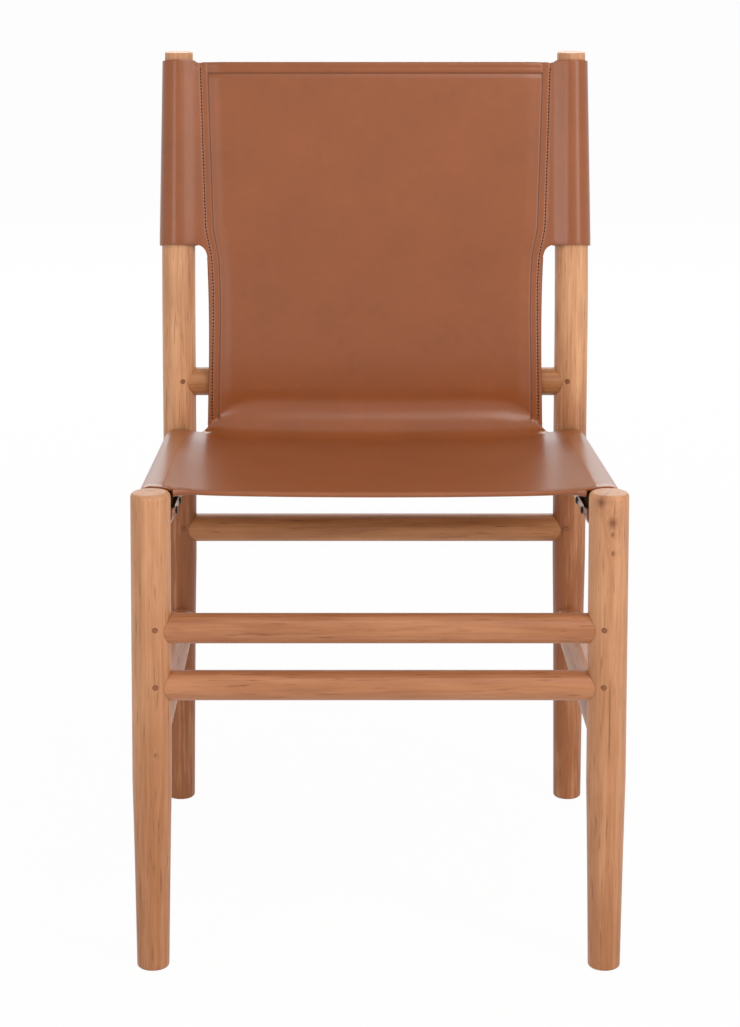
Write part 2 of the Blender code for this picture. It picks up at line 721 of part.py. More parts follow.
def waist_rows():
    """Rows under the sleeves, where the leather is cut back between the posts."""
    rows = []
    for step in range(1, NOTCH_STEPS + 1):
        angle = QUARTER * step / NOTCH_STEPS
        height = SLEEVE_LOW_HEIGHT - UPPER_NOTCH_RADIUS * (1 - math.cos(angle))
        notch = PANEL_HALF_WIDTH - WAIST_WIDTH_TOP / 2
        half_width = PANEL_HALF_WIDTH - notch * math.sin(angle)
        rows.append((back_row(height, half_width, 0), None, None))
    top = SLEEVE_LOW_HEIGHT - UPPER_NOTCH_RADIUS
    low = fold_point(0, PANEL_HALF_WIDTH, 0).z
    for step in range(1, WAIST_STEPS):
        height = top + (low - top) * step / WAIST_STEPS
        rows.append((back_row(height, waist_half_width(height), 0), None, None))
    return rows


def fold_panels():
    """Rows down the fold from back to seat, which widen to reach the seat rails."""
    panels = []
    for step in range(FOLD_STEPS + 1):
        angle = QUARTER * step / FOLD_STEPS
        notch = PANEL_HALF_WIDTH - WAIST_WIDTH_LOW / 2
        half_width = WAIST_WIDTH_LOW / 2 + notch * (1 - math.cos(angle))
        panels.append([
            fold_point(share * half_width, half_width, math.sin(angle)) for share in COLUMN_SHARES
        ])
    return panels


def seat_rows(start):
    """Rows of the seat from the fold to its front edge, with what goes round the seat rails."""
    rows = []
    for step in range(SEAT_STEPS + 1):
        panel = []
        for point in start:
            y = point.y + (seat_front() - point.y) * step / SEAT_STEPS
            panel.append(Vector((point.x, y, seat_height(point.x, y))))
        edge_y = panel[0].y
        rows.append((panel, rail_wing(-1, edge_y), rail_wing(1, edge_y)))
    return rows


def front_hem_rows(edge):
    """Rows of the hem under the seat's front edge, to its free edge."""
    forward = Vector((0, -math.cos(seat_slope()), math.sin(seat_slope())))
    down = Vector((0, -math.sin(seat_slope()), -math.cos(seat_slope())))
    hem = [hem_turn(point, forward, down, FRONT_HEM_WIDTH) for point in edge]
    return [([turn[at] for turn in hem], None, None) for at in range(HEM_STEPS + 1)]


def sling_rows():
    """Rows of the leather's middle layer: (panel points, left wing, right wing), top to front."""
    fold = fold_panels()
    rows = top_hem_rows() + sleeve_rows() + waist_rows()
    rows += [(panel, None, None) for panel in fold[:-1]]
    rows += seat_rows(fold[-1])
    return rows + front_hem_rows(rows[-1][0])


def sling_mesh():
    """Middle layer of the leather, an open surface of rows and columns."""
    shape = bmesh.new()

    def plant(points):
        return [shape.verts.new(point) if point is not None else None for point in points or []]

    planted = [tuple(plant(points) for points in row) for row in sling_rows()]
    for upper, lower in zip(planted, planted[1:]):
        strips = [(upper[0], lower[0])]
        if upper[1] and lower[1]:
            strips.append(([upper[0][0]] + upper[1], [lower[0][0]] + lower[1]))
            strips.append(([upper[0][-1]] + upper[2], [lower[0][-1]] + lower[2]))
        for high, low in strips:
            for at in range(len(high) - 1):
                corners = [high[at], high[at + 1], low[at + 1], low[at]]
                if None not in corners:
                    shape.faces.new(corners)
    bmesh.ops.recalc_face_normals(shape, faces=shape.faces)
    loose = [vertex for vertex in shape.verts if not vertex.link_faces]
    bmesh.ops.delete(shape, geom=loose, context="VERTS")
    return mesh_from(shape, "leather_sling")


def tack_places(side):
    """Points on the inner side of a seat rail where its tacks are driven."""
    first = seat_front() + TACK_FRONT_MARGIN
    last = seat_rear() - FOLD_SIDE_RADIUS - TACK_REAR_MARGIN
    places = []
    for y in np.linspace(first, last, TACK_COUNT):
        x = side * (seat_rail_x(y) - SEAT_RAIL_WIDTH / 2)
        places.append(Vector((x, y, seat_rail_height(y) - TACK_DROP)))
    return places


def tack_mesh():
    """Tack turned about Z, its head up and its underside at height nought."""
    stations = [(0, TACK_HEAD_HEIGHT)]
    for share in TACK_HEAD_SHARES:
        height = TACK_HEAD_HEIGHT * math.sqrt(1 - share ** 2)
        stations.append((TACK_HEAD_RADIUS * share, height))
    stations.append((TACK_HEAD_RADIUS, 0))
    stations.append((TACK_SHANK_RADIUS, 0))
    stations.append((TACK_SHANK_RADIUS, TACK_POINT_LENGTH - TACK_SHANK_LENGTH))
    stations.append((0, -TACK_SHANK_LENGTH))
    return turned("tack", stations, TACK_SEGMENTS)


def make_sling():
    """The leather, with holes for its tacks."""
    sling = add_part("leather_sling", sling_mesh(), LEATHER)
    thicken = sling.modifiers.new("thickness", "SOLIDIFY")
    thicken.thickness = LEATHER_THICKNESS
    thicken.offset = 0
    thicken.use_even_offset = True
    thicken.use_quality_normals = True
    return sling


def make_tacks(sling):
    """A row of tacks on the inner side of each seat rail, through the leather's free edge."""
    head_gap = LEATHER_GAP + LEATHER_THICKNESS + LEATHER_GAP
    for word, side in SIDES.items():
        rail = RAILS["seat_rail_" + word]
        inward = Vector((-side, 0, 0))
        holes = bmesh.new()
        for number, place in enumerate(tack_places(side), 1):
            mesh = tack_mesh()
            turn = inward.to_track_quat("Z", "Y").to_matrix().to_4x4()
            mesh.transform(Matrix.Translation(place + inward * head_gap) @ turn)
            add_part("tack_" + word + "_" + str(number), mesh, TACK)
            bottom = place + inward * (head_gap - TACK_SHANK_LENGTH - JOINT_GAP)
            mouth = place + inward * (head_gap + LEATHER_GAP)
            hole = rod_shape(bottom, mouth, TACK_SHANK_RADIUS + JOINT_GAP, TACK_HOLE_SEGMENTS)
            scrap = mesh_from(hole, "tack_hole")
            holes.from_mesh(scrap)
            bpy.data.meshes.remove(scrap)
        name = "tack_holes_" + word
        cutter = add_cutter(name, mesh_from(holes, name))
        combine(rail, cutter, "DIFFERENCE")
        combine(sling, cutter, "DIFFERENCE")


def centre_on_floor():
    """Move everything so that the outline's middle is the origin."""
    corners = np.array([vertex.co for part in PARTS.objects for vertex in part.data.vertices])
    low, high = corners.min(axis=0), corners.max(axis=0)
    shift = Matrix.Translation((-(low[0] + high[0]) / 2, -(low[1] + high[1]) / 2, -low[2]))
    for mesh in {thing.data for thing in list(PARTS.objects) + list(CUTTERS.objects)}:
        mesh.transform(shift)
    print("size", high - low)


clear_scene()
PARTS = new_collection("leather_sling_chair")
CUTTERS = new_collection("cutters")
WOOD = new_material("wood", WOOD_COLOUR, 0.45, 0)
REAR_WOOD = new_material("rear_wood", REAR_WOOD_COLOUR, 0.45, 0)
PIN = new_material("pin", PIN_COLOUR, 0.5, 0)
LEATHER = new_material("leather", LEATHER_COLOUR, 0.35, 0)
TACK = new_material("tack", TACK_COLOUR, 0.35, 1)
LEGS, RAILS, ENVELOPES = {}, {}, {}

make_legs()
make_cross_rails()
make_side_rails()
SLING = make_sling()
make_tacks(SLING)
for piece in list(PARTS.objects):
    settle(piece)
centre_on_floor()
for piece in PARTS.objects:
    piece.data.calc_loop_triangles()
    print(piece.name, len(piece.data.loop_triangles))
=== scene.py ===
# %% [markdown]
# # A leather sling chair
#
# The chair is a light wooden frame with one piece of thick leather stretched over it.
# Four turned legs stand at the corners. The rear pair are posts that bend above the seat and
# lean back. Round stretchers join them through pinned tenons, and two rails slope under the seat.
# The leather is sleeved over the posts, comes down as the back, turns forward as the seat, and
# wraps round the two rails, where tacks hold it.
#
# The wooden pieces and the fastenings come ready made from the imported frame. This file gives them
# their finishes, makes the leather with its hems and stitching, and sets up camera and light.

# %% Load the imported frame
import math

import bmesh
import bpy
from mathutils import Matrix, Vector
from mathutils.kdtree import KDTree


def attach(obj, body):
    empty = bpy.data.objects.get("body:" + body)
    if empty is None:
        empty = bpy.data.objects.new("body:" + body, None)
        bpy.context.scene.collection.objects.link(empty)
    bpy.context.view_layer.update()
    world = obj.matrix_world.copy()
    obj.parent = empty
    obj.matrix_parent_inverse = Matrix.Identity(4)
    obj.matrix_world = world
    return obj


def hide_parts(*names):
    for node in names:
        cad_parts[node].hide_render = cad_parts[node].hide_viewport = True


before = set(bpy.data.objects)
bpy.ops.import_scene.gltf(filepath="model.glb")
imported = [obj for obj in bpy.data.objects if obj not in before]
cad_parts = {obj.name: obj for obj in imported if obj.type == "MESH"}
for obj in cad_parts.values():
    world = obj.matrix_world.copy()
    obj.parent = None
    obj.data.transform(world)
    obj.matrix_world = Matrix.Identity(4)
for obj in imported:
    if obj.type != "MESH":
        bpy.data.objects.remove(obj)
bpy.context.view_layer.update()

# %% [markdown]
# ## Camera
#
# The chair is seen square from the front and from a little above its back, through a long lens,
# so that its uprights stay nearly parallel. The place of the lens is worked out from the legs:
# their feet, their tops and the leaning posts fix the distance, the height and the tilt. A small
# shift of the film keeps the chair where it stands in the frame, which a turn of the camera
# would not do without making the uprights converge.

# %% Camera
FRAME_WIDTH, FRAME_HEIGHT = 740, 1027
FOCAL_PIXELS = 2767.1
AXIS_PIXEL = (347.5, 399.3)
FILM = 36
CAMERA_PLACE = (-0.0286, -2.6284, 1.0609)
CAMERA_PITCH = 12.5

lens = bpy.data.cameras.new("studio_camera")
lens.sensor_fit = "AUTO"
lens.sensor_width = FILM
lens.lens = FOCAL_PIXELS * FILM / FRAME_HEIGHT
lens.shift_x = (FRAME_WIDTH / 2 - AXIS_PIXEL[0]) / FRAME_HEIGHT
lens.shift_y = -(FRAME_HEIGHT / 2 - AXIS_PIXEL[1]) / FRAME_HEIGHT
camera = bpy.data.objects.new("studio_camera", lens)
camera.location = CAMERA_PLACE
camera.rotation_euler = (math.radians(90 - CAMERA_PITCH), 0, 0)
bpy.context.scene.collection.objects.link(camera)
bpy.context.scene.camera = camera
print("lens", round(lens.lens, 2), "shift", round(lens.shift_x, 4), round(lens.shift_y, 4))

# %% [markdown]
# ## Node helper
#
# Every finish below is a small sum of patterns. Written as plain Python, such a sum is easy to
# read, so a tiny class stands for a socket and turns +, -, * and / into Math nodes. All other
# nodes come from one method, which sets a node's options first and its sockets after them.

# %% Sockets that can be added and multiplied
class Value:
    """A socket of a finish. Operators on it add Math nodes."""

    def __init__(self, finish, socket):
        self.finish = finish
        self.socket = socket

    def math(self, operation, *others):
        """Math node on this value and any others."""
        inputs = dict(enumerate((self,) + others))
        return self.finish.node("Math", {"operation": operation}, inputs)

    def flipped(self, operation, other):
        """Math node with this value second."""
        return self.finish.node("Math", {"operation": operation}, {0: other, 1: self})

    def __add__(self, other):
        return self.math("ADD", other)

    def __sub__(self, other):
        return self.math("SUBTRACT", other)

    def __mul__(self, other):
        return self.math("MULTIPLY", other)

    def __truediv__(self, other):
        return self.math("DIVIDE", other)

    def __rsub__(self, other):
        return self.flipped("SUBTRACT", other)

    def __rtruediv__(self, other):
        return self.flipped("DIVIDE", other)

    __radd__ = __add__
    __rmul__ = __mul__

    def clamp(self):
        """Value kept between 0 and 1."""
        return self.math("MAXIMUM", 0).math("MINIMUM", 1)


class Finish:
    """A material in the making."""

    def __init__(self, name):
        self.material = bpy.data.materials.new(name)
        self.material.use_nodes = True
        self.tree = self.material.node_tree
        self.shader = self.tree.nodes["Principled BSDF"]

    def feed(self, socket, value):
        """Link a value to a socket, or set it there."""
        if isinstance(value, Value):
            self.tree.links.new(value.socket, socket)
        else:
            socket.default_value = value

    def node(self, kind, settings=None, sockets=None, out=0):
        """Add a node: its options first, then its sockets. Returns one of its outputs."""
        made = self.tree.nodes.new("ShaderNode" + kind)
        for name, value in (settings or {}).items():
            setattr(made, name, value)
        for key, value in (sockets or {}).items():
            self.feed(made.inputs[key], value)
        return Value(self, made.outputs[out])

    def place(self):
        """Object coordinates."""
        return self.node("TexCoord", out=3)

    def axes(self, vector):
        """The three parts of a vector."""
        parts = self.node("SeparateXYZ", None, {0: vector})
        return [Value(self, socket) for socket in parts.socket.node.outputs]

    def point(self, x, y, z):
        """Vector of three values."""
        return self.node("CombineXYZ", None, {0: x, 1: y, 2: z})

    def noise(self, vector, scale, detail=2, roughness=0.5):
        """Noise between 0 and 1."""
        return self.node(
            "TexNoise", None,
            {"Vector": vector, "Scale": scale, "Detail": detail, "Roughness": roughness},
        )

    def blend(self, share, first, second):
        """Mix of two colours."""
        return self.node("Mix", {"data_type": "RGBA"}, {0: share, 6: first, 7: second}, out=2)

    def ramp(self, value, low, high):
        """Value stretched so that low becomes 0 and high 1."""
        return self.node("MapRange", None, {0: value, 1: low, 2: high})

    def bump(self, height, strength, distance):
        """Normal of a surface that has this height."""
        return self.node("Bump", None, {"Height": height, "Strength": strength, "Distance": distance})

    def dress(self, **sockets):
        """Set the shader's sockets by name, with spaces written as underscores."""
        for name, value in sockets.items():
            self.feed(self.shader.inputs[name.replace("_", " ")], value)
        return self.material


def srgb(text):
    """Linear colour of a hexadecimal one."""
    parts = [int(text[at:at + 2], 16) / 255 for at in (0, 2, 4)]
    linear = [p / 12.92 if p <= 0.04045 else ((p + 0.055) / 1.055) ** 2.4 for p in parts]
    return (*linear, 1)


print("middle grey in linear light", round(srgb("808080")[0], 3))

# %% [markdown]
# ## Light and floor
#
# The chair stands in a white studio. A white sheet of floor and a white surround would wash out
# its colours if they were lit brightly, so the surround is bright only where the camera or a
# reflection sees it. It reaches the chair as a gentler dome. Two tall soft boxes, one on each
# side of the camera, draw the upright highlights on the posts and legs. A wide one, high in
# front and to the right, is the key light. One behind, higher than the camera sees, shines along
# the leather over the rails. The floor is mostly its own white, and keeps a faint shadow.

# %% Surround
DOME_LEVEL = 0.50
DOME_WHITE = (1, 0.985, 0.97, 1)

world = bpy.data.worlds.new("white_studio")
bpy.context.scene.world = world
world.use_nodes = True
sky = world.node_tree
backdrop = sky.nodes["Background"]
backdrop.inputs["Color"].default_value = (1, 1, 1, 1)
backdrop.inputs["Strength"].default_value = 1
dome = sky.nodes.new("ShaderNodeBackground")
dome.inputs["Color"].default_value = DOME_WHITE
dome.inputs["Strength"].default_value = DOME_LEVEL
path = sky.nodes.new("ShaderNodeLightPath")
seen = path.outputs["Is Camera Ray"]
for ray in ("Is Glossy Ray", "Is Transmission Ray"):
    either = sky.nodes.new("ShaderNodeMath")
    either.operation = "MAXIMUM"
    sky.links.new(seen, either.inputs[0])
    sky.links.new(path.outputs[ray], either.inputs[1])
    seen = either.outputs[0]
choice = sky.nodes.new("ShaderNodeMixShader")
sky.links.new(seen, choice.inputs[0])
sky.links.new(dome.outputs[0], choice.inputs[1])
sky.links.new(backdrop.outputs[0], choice.inputs[2])
sky.links.new(choice.outputs[0], sky.nodes["World Output"].inputs["Surface"])
bpy.context.scene.view_settings.view_transform = "Standard"
print("dome", DOME_LEVEL, "where only the chair sees it")


# %% Soft boxes
BOX_TARGET = (0, 0, 0.5)
BOX_WHITE = (1, 0.97, 0.94)
SOFT_BOXES = {
    "left": ((-1.6, -2.5, 1.2), (0.6, 1.8), 4.0),
    "right": ((1.75, -1.65, 1.2), (0.6, 1.8), 4.1),
    "key": ((1.1, -2.0, 2.9), (1.8, 1.4), 3.9),
    "behind": ((0, 3.6, 2.1), (4.0, 1.8), 2.6),
}


def soft_box(name, place, size, level):
    """Rectangular lamp of a set radiance that faces the chair."""
    lamp = bpy.data.lights.new(name, "AREA")
    lamp.shape = "RECTANGLE"
    lamp.size, lamp.size_y = size
    lamp.energy = level * math.pi * size[0] * size[1]
    lamp.color = BOX_WHITE
    holder = bpy.data.objects.new(name, lamp)
    holder.location = place
    holder.rotation_euler = (Vector(BOX_TARGET) - Vector(place)).to_track_quat("-Z", "Y").to_euler()
    bpy.context.scene.collection.objects.link(holder)
    return lamp.energy


for name, (place, size, level) in SOFT_BOXES.items():
    print(name, "soft box", round(soft_box("soft_box_" + name, place, size, level), 1), "W")

# %% Floor
FLOOR_REACH = 30
FLOOR_OWN_WHITE = 0.965
FLOOR_WHITE = (0.9, 0.9, 0.9, 1)

shape = bmesh.new()
bmesh.ops.create_grid(shape, x_segments=1, y_segments=1, size=FLOOR_REACH)
floor_mesh = bpy.data.meshes.new("studio_floor")
shape.to_mesh(floor_mesh)
shape.free()
floor = bpy.data.objects.new("studio_floor", floor_mesh)
bpy.context.scene.collection.objects.link(floor)
floor_finish = Finish("studio_floor_white")
floor_finish.dress(Base_Color=FLOOR_WHITE, Roughness=0.9, Specular_IOR_Level=0)
glow = floor_finish.node("Emission", None, {"Color": (1, 1, 1, 1), "Strength": 1})
rays = floor_finish.node("LightPath").socket.node.outputs
looked_at = Value(floor_finish, rays["Is Camera Ray"])
for other in ("Is Glossy Ray", "Is Transmission Ray"):
    looked_at = looked_at.math("MAXIMUM", Value(floor_finish, rays[other]))
lit = Value(floor_finish, floor_finish.shader.outputs[0])
sheet_white = floor_finish.node("MixShader", None, {0: looked_at * FLOOR_OWN_WHITE, 1: lit, 2: glow})
floor_finish.feed(floor_finish.tree.nodes["Material Output"].inputs["Surface"], sheet_white)
floor.data.materials.append(floor_finish.material)
print("floor", FLOOR_REACH, "m each way")

# %% [markdown]
# ## Sizes of the frame that the leather follows
#
# The leather touches the posts and the seat rails all along, so its shape is worked out from
# theirs: the axis of a post with its bend, the taper of its radius, and the slope of the rails.
# These are the same sizes as in the frame, in metres, with the front towards -Y.

# %% Posts
FRONT_AXIS_Y, REAR_AXIS_Y = -0.25185, 0.18815
SPREAD_FLOOR, SPREAD_SEAT, SPREAD_SEAT_HEIGHT = 0.4149, 0.4073, 0.420
BEND_HEIGHT, BEND_HALF = 0.515, 0.110
BACK_LEAN = math.radians(13.65)
POST_HEIGHT, POST_RADIUS, POST_TOP_RADIUS, POST_TAPER_HEIGHT = 0.7912, 0.0172, 0.01445, 0.600


def smooth_step(value):
    """Soft ramp from 0 to 1."""
    share = min(1, max(0, value))
    return share * share * (3 - 2 * share)


def post_axis_x(height):
    """Distance of a leg's axis from the middle of the chair."""
    share = min(1, height / SPREAD_SEAT_HEIGHT)
    return (SPREAD_FLOOR + (SPREAD_SEAT - SPREAD_FLOOR) * share) / 2


def post_lean(height):
    """How far a post has moved back at a height, and its lean there."""
    above = height - BEND_HEIGHT
    if above <= -BEND_HALF:
        return 0, 0
    if above >= BEND_HALF:
        return above * math.tan(BACK_LEAN), BACK_LEAN
    turn = (above + BEND_HALF) / (2 * BEND_HALF)
    return turn * (above + BEND_HALF) / 2 * math.tan(BACK_LEAN), math.atan(turn * math.tan(BACK_LEAN))


def post_radius(height):
    """Radius of a post above the seat."""
    share = max(0, (height - POST_TAPER_HEIGHT) / (POST_HEIGHT - POST_TAPER_HEIGHT))
    return POST_RADIUS - (POST_RADIUS - POST_TOP_RADIUS) * share


def on_post_plane(height, x, back):
    """Point in the plane square to the posts at a height of their axes."""
    moved, lean = post_lean(height)
    return Vector((x, REAR_AXIS_Y + moved + back * math.cos(lean), height - back * math.sin(lean)))


print("post tops lean back by", round(post_lean(POST_HEIGHT)[0], 4))

# %% Seat rails
FRONT_LEG_RADIUS = 0.0179
RAIL_WIDTH, RAIL_THICKNESS, RAIL_ROUND = 0.0268, 0.033, 0.008
RAIL_FRONT_INSET, RAIL_REAR_INSET = 0.0039, 0.0015
RAIL_FRONT_HEIGHT, RAIL_REAR_HEIGHT = 0.4346, 0.3882
RAIL_SLOPE = math.atan((RAIL_FRONT_HEIGHT - RAIL_REAR_HEIGHT) / (REAR_AXIS_Y - FRONT_AXIS_Y))


def along_rail(front, rear, y):
    """Value that runs evenly from the front legs to the posts."""
    return front + (rear - front) * (y - FRONT_AXIS_Y) / (REAR_AXIS_Y - FRONT_AXIS_Y)


def rail_x(y):
    """Distance of a seat rail's axis from the middle of the chair."""
    return SPREAD_SEAT / 2 - along_rail(RAIL_FRONT_INSET, RAIL_REAR_INSET, y)


def rail_height(y):
    """Height of a seat rail's axis."""
    return along_rail(RAIL_FRONT_HEIGHT, RAIL_REAR_HEIGHT, y)


print("rails slope by", round(math.degrees(RAIL_SLOPE), 2), "degrees")

# %% [markdown]
# ## The leather
#
# On the real chair this is one hide, about 2 mm thick. Beside the back its two side edges are
# taken round the posts and sewn to the rear of the panel as sleeves. Between sleeves and seat it
# is narrower, and its side edges are turned and sewn. At the seat it widens again and wraps each
# rail: over the top, down the outside, under, and up the inside, where tacks hold it. The top
# edge of the back and the front edge of the seat are turned under as hems.
#
# Cloth simulation would let it find its own rest, but stretched leather this thick hardly sags,
# and its outline is known well from the rails and posts that it touches. So its middle layer is
# lofted in rows from the top hem down the back and forward along the seat, each row worked out
# from posts or rails. The Solidify modifier then gives it its thickness, and a bevel rounds the
# cut edges. Along the rows of stitches the points of the loft sit closer and dip into a groove,
# as the pull of the thread does.

# %% Leather sizes
LEATHER, LEATHER_GAP = 0.0022, 0.0003
SLEEVE_TOP, SLEEVE_LOW = 0.7812, 0.5955
PANEL_HALF = 0.1845
WAIST_TOP_HALF, WAIST_MIDDLE_HALF, WAIST_LOW_HALF = 0.17375, 0.17175, 0.1735
WAIST_LOW_HEIGHT = 0.430
UPPER_NOTCH, LOWER_NOTCH = 0.012, 0.015


def waist_half(height):
    """Half width of the leather between sleeves and seat."""
    place = 2 * (height - WAIST_LOW_HEIGHT) / (SLEEVE_LOW - UPPER_NOTCH - WAIST_LOW_HEIGHT) - 1
    mean = (WAIST_TOP_HALF + WAIST_LOW_HALF) / 2
    lean = (WAIST_TOP_HALF - WAIST_LOW_HALF) / 2
    return WAIST_MIDDLE_HALF + lean * place + (mean - WAIST_MIDDLE_HALF) * place ** 2


def evenly(start, end, steps):
    """Even steps from start to end, without the start."""
    return [start + (end - start) * (at + 1) / steps for at in range(steps)]


print("waist half way down", round(waist_half((SLEEVE_LOW + WAIST_LOW_HEIGHT) / 2) * 2, 4), "wide")

# %% Rows of stitches
TOP_ROW, FRONT_ROW = 0.0119, 0.004
GROOVE_DEPTH, GROOVE_REACH, GROOVE_STEEPNESS = 0.0008, 0.0016, 1.6

# Distance of the two rows of stitches from the middle of the chair, at heights down the back
ROW_HEIGHTS = (0.785, 0.712, 0.612, 0.583, 0.555, 0.518, 0.430)
OUTER_ROW = (0.1812, 0.1788, 0.1752, 0.1690, 0.1675, 0.1672, 0.1690)
INNER_ROW = (0.1738, 0.1712, 0.1676, 0.1618, 0.1604, 0.1600, 0.1618)


def row_x(table, height):
    """Distance of a row of stitches from the middle at a height."""
    for at in range(len(ROW_HEIGHTS) - 1):
        high, low = ROW_HEIGHTS[at], ROW_HEIGHTS[at + 1]
        if height >= low:
            break
    share = min(1, max(0, (high - height) / (high - low)))
    return table[at] + (table[at + 1] - table[at]) * share


def groove(distance):
    """Depth of the dip that a row of stitches pulls into the leather."""
    return GROOVE_DEPTH * math.exp(-(distance / GROOVE_REACH * GROOVE_STEEPNESS) ** 2)


print("outer row at mid sleeve", round(row_x(OUTER_ROW, (SLEEVE_TOP + SLEEVE_LOW) / 2), 4))

# %% Back of the leather
LEAVE_ANGLE = math.radians(20)
SET_BACK, SET_BACK_START, SET_BACK_RUN, SET_BACK_BLEND = 0.0066, 0.470, 0.115, 8
BACK_HOLLOW = 0.0025
PUFF, PUFF_RUN = 0.0016, 0.016
ROWS_FADE, CORNER_FADE = 0.02, 0.001
TOP_LINE_DEPTH, TOP_LINE_DOWN, TOP_LINE_REACH = 0.0002, 0.0045, 0.0015


def sleeve_offset(height):
    """Distance of the leather's middle layer from a post's axis."""
    return post_radius(height) + LEATHER_GAP + LEATHER / 2


def set_back(height, x):
    """How far the panel lies behind the posts' front faces: leather leaves a post at an angle."""
    limit = SET_BACK * smooth_step((height - SET_BACK_START) / SET_BACK_RUN)
    inward = post_axis_x(height) - abs(x)
    offset = sleeve_offset(height)
    if limit <= 0 or inward <= 0:
        return 0
    bent = min(inward, offset * math.sin(LEAVE_ANGLE))
    free = offset - math.sqrt(offset ** 2 - bent ** 2) + (inward - bent) * math.tan(LEAVE_ANGLE)
    return (free ** -SET_BACK_BLEND + limit ** -SET_BACK_BLEND) ** (-1 / SET_BACK_BLEND)


def back_depth(height, x):
    """Depth of the back's middle layer behind the posts' axes, grooves included."""
    span = SLEEVE_TOP - BEND_HEIGHT + BEND_HALF
    share = min(1, max(0, (SLEEVE_TOP - height) / span))
    hollow = BACK_HOLLOW * math.sin(math.pi * share) * max(0, 1 - (x / PANEL_HALF) ** 2)
    depth = hollow - sleeve_offset(height) + set_back(height, x)
    fade = smooth_step((height - WAIST_LOW_HEIGHT) / ROWS_FADE)
    outer, inner = row_x(OUTER_ROW, height), row_x(INNER_ROW, height)
    depth += fade * (groove(abs(x) - outer) + groove(abs(x) - inner))
    depth -= fade * PUFF * smooth_step((inner - abs(x)) / PUFF_RUN)
    down = SLEEVE_TOP - height
    inside = smooth_step((inner - abs(x)) / CORNER_FADE)
    top_line = TOP_LINE_DEPTH * math.exp(-((down - TOP_LINE_DOWN) / TOP_LINE_REACH) ** 2)
    depth += inside * groove(down - TOP_ROW) + top_line
    return depth


def back_point(height, x):
    """Point on the back's middle layer."""
    return on_post_plane(height, x, back_depth(height, x))


print("back lies", round(set_back(SLEEVE_TOP, 0), 4), "m behind the sleeves' front")

# %% Columns across the leather
COLUMNS = 40
EDGE_COLUMN_SHARE = 0.6


def panel_columns(half, height):
    """Places across the leather, closer along the rows of stitches."""
    outer, inner = row_x(OUTER_ROW, height), row_x(INNER_ROW, height)
    out = min(GROOVE_REACH, (half - outer) * EDGE_COLUMN_SHARE)
    side = [half, (half + outer + out) / 2, outer + out, outer + out / 2, outer]
    side += [outer - GROOVE_REACH * share for share in (0.5, 1, 1.4)]
    side += [inner - GROOVE_REACH * share for share in (-1.4, -1, -0.5, 0, 0.5, 1, 1.4)]
    side += [inner - PUFF_RUN * share for share in (0.25, 0.4, 0.55, 0.7, 0.85, 1)]
    middle = [-side[-1] + 2 * side[-1] * at / COLUMNS for at in range(1, COLUMNS)]
    return [-x for x in side] + middle + side[::-1]


print("columns across the back", len(panel_columns(PANEL_HALF, SLEEVE_TOP)))

# %% Top edge
TOP_HEM, HEM_STEPS = 0.015, 6
ROLL_RADIUS = (LEATHER + LEATHER_GAP) / 2
ROLL_REACH, ROLL_FADE = ROLL_RADIUS + LEATHER / 2, 0.012
TOP_SCOOP, SCOOP_RUN, SCOOP_FADE, SCOOP_LEAD = 0.0015, 0.008, 0.05, 0.0045


def drop_share(x):
    """How far the top edge has dropped from the sleeves to the panel."""
    return smooth_step((PANEL_HALF + SCOOP_LEAD - abs(x)) / SCOOP_RUN)


def roll_share(x):
    """How far the top hem's fold is formed: not at the posts, fully between them."""
    return smooth_step((PANEL_HALF - abs(x)) / SCOOP_RUN)


def top_drop(height, x):
    """How far the leather between the posts is moved down near its top edge."""
    lean = post_lean(SLEEVE_TOP)[1]
    scoop = TOP_SCOOP * drop_share(x) * smooth_step(1 - (SLEEVE_TOP - height) / SCOOP_FADE)
    fold = ROLL_REACH * smooth_step(1 - (SLEEVE_TOP - height) / ROLL_FADE) * drop_share(x)
    return Vector((0, math.sin(lean), math.cos(lean))) * (scoop + fold)


def turned_hem(edge, along, across, width, roll=1):
    """Points of a hem from its fold: past an edge point, over, and back under the leather."""
    points = []
    for angle in evenly(-math.pi / 2, math.pi / 2, HEM_STEPS):
        past = ROLL_RADIUS * roll * math.cos(angle)
        points.append(edge + along * past + across * ROLL_RADIUS * (1 + math.sin(angle)))
    for share in (0.33, 0.66, 1):
        points.append(edge + across * ROLL_RADIUS * 2 - along * width * share)
    return points


print("top edge drops by", round(top_drop(SLEEVE_TOP, 0).length, 4))

# %% Sleeves round the posts
SEAM_RADIUS, FLAP_END = 0.006, 0.162
FLAP_RUN = 0.003
HEM_LEAD, HEM_RUN = 0.005, 0.004
EDGE_ROWS = (0, 0.0015, 0.003, 0.0045, 0.006, 0.008)
SLEEVE_ROWS, SLEEVE_ROWS_START = 27, 0.018


def sleeve_heights():
    """Heights of the rows from the top edge to the sleeves' lower edge."""
    near = list(EDGE_ROWS) + [TOP_ROW + GROOVE_REACH * share for share in (-1, -0.5, 0, 0.5, 1)]
    rest = [SLEEVE_ROWS_START] + evenly(SLEEVE_ROWS_START, SLEEVE_TOP - SLEEVE_LOW, SLEEVE_ROWS)
    return [SLEEVE_TOP - down for down in near + rest]


def layers_behind(height):
    """Layers of leather behind the back: the top hem with the flap over it, flap alone, hem."""
    over_hem = smooth_step((height - SLEEVE_TOP + TOP_HEM + HEM_LEAD) / HEM_RUN)
    flap = smooth_step((height - SLEEVE_LOW + FLAP_RUN) / FLAP_RUN)
    side_hem = smooth_step((SLEEVE_LOW - UPPER_NOTCH - height + FLAP_RUN) / FLAP_RUN)
    return over_hem + flap + side_hem


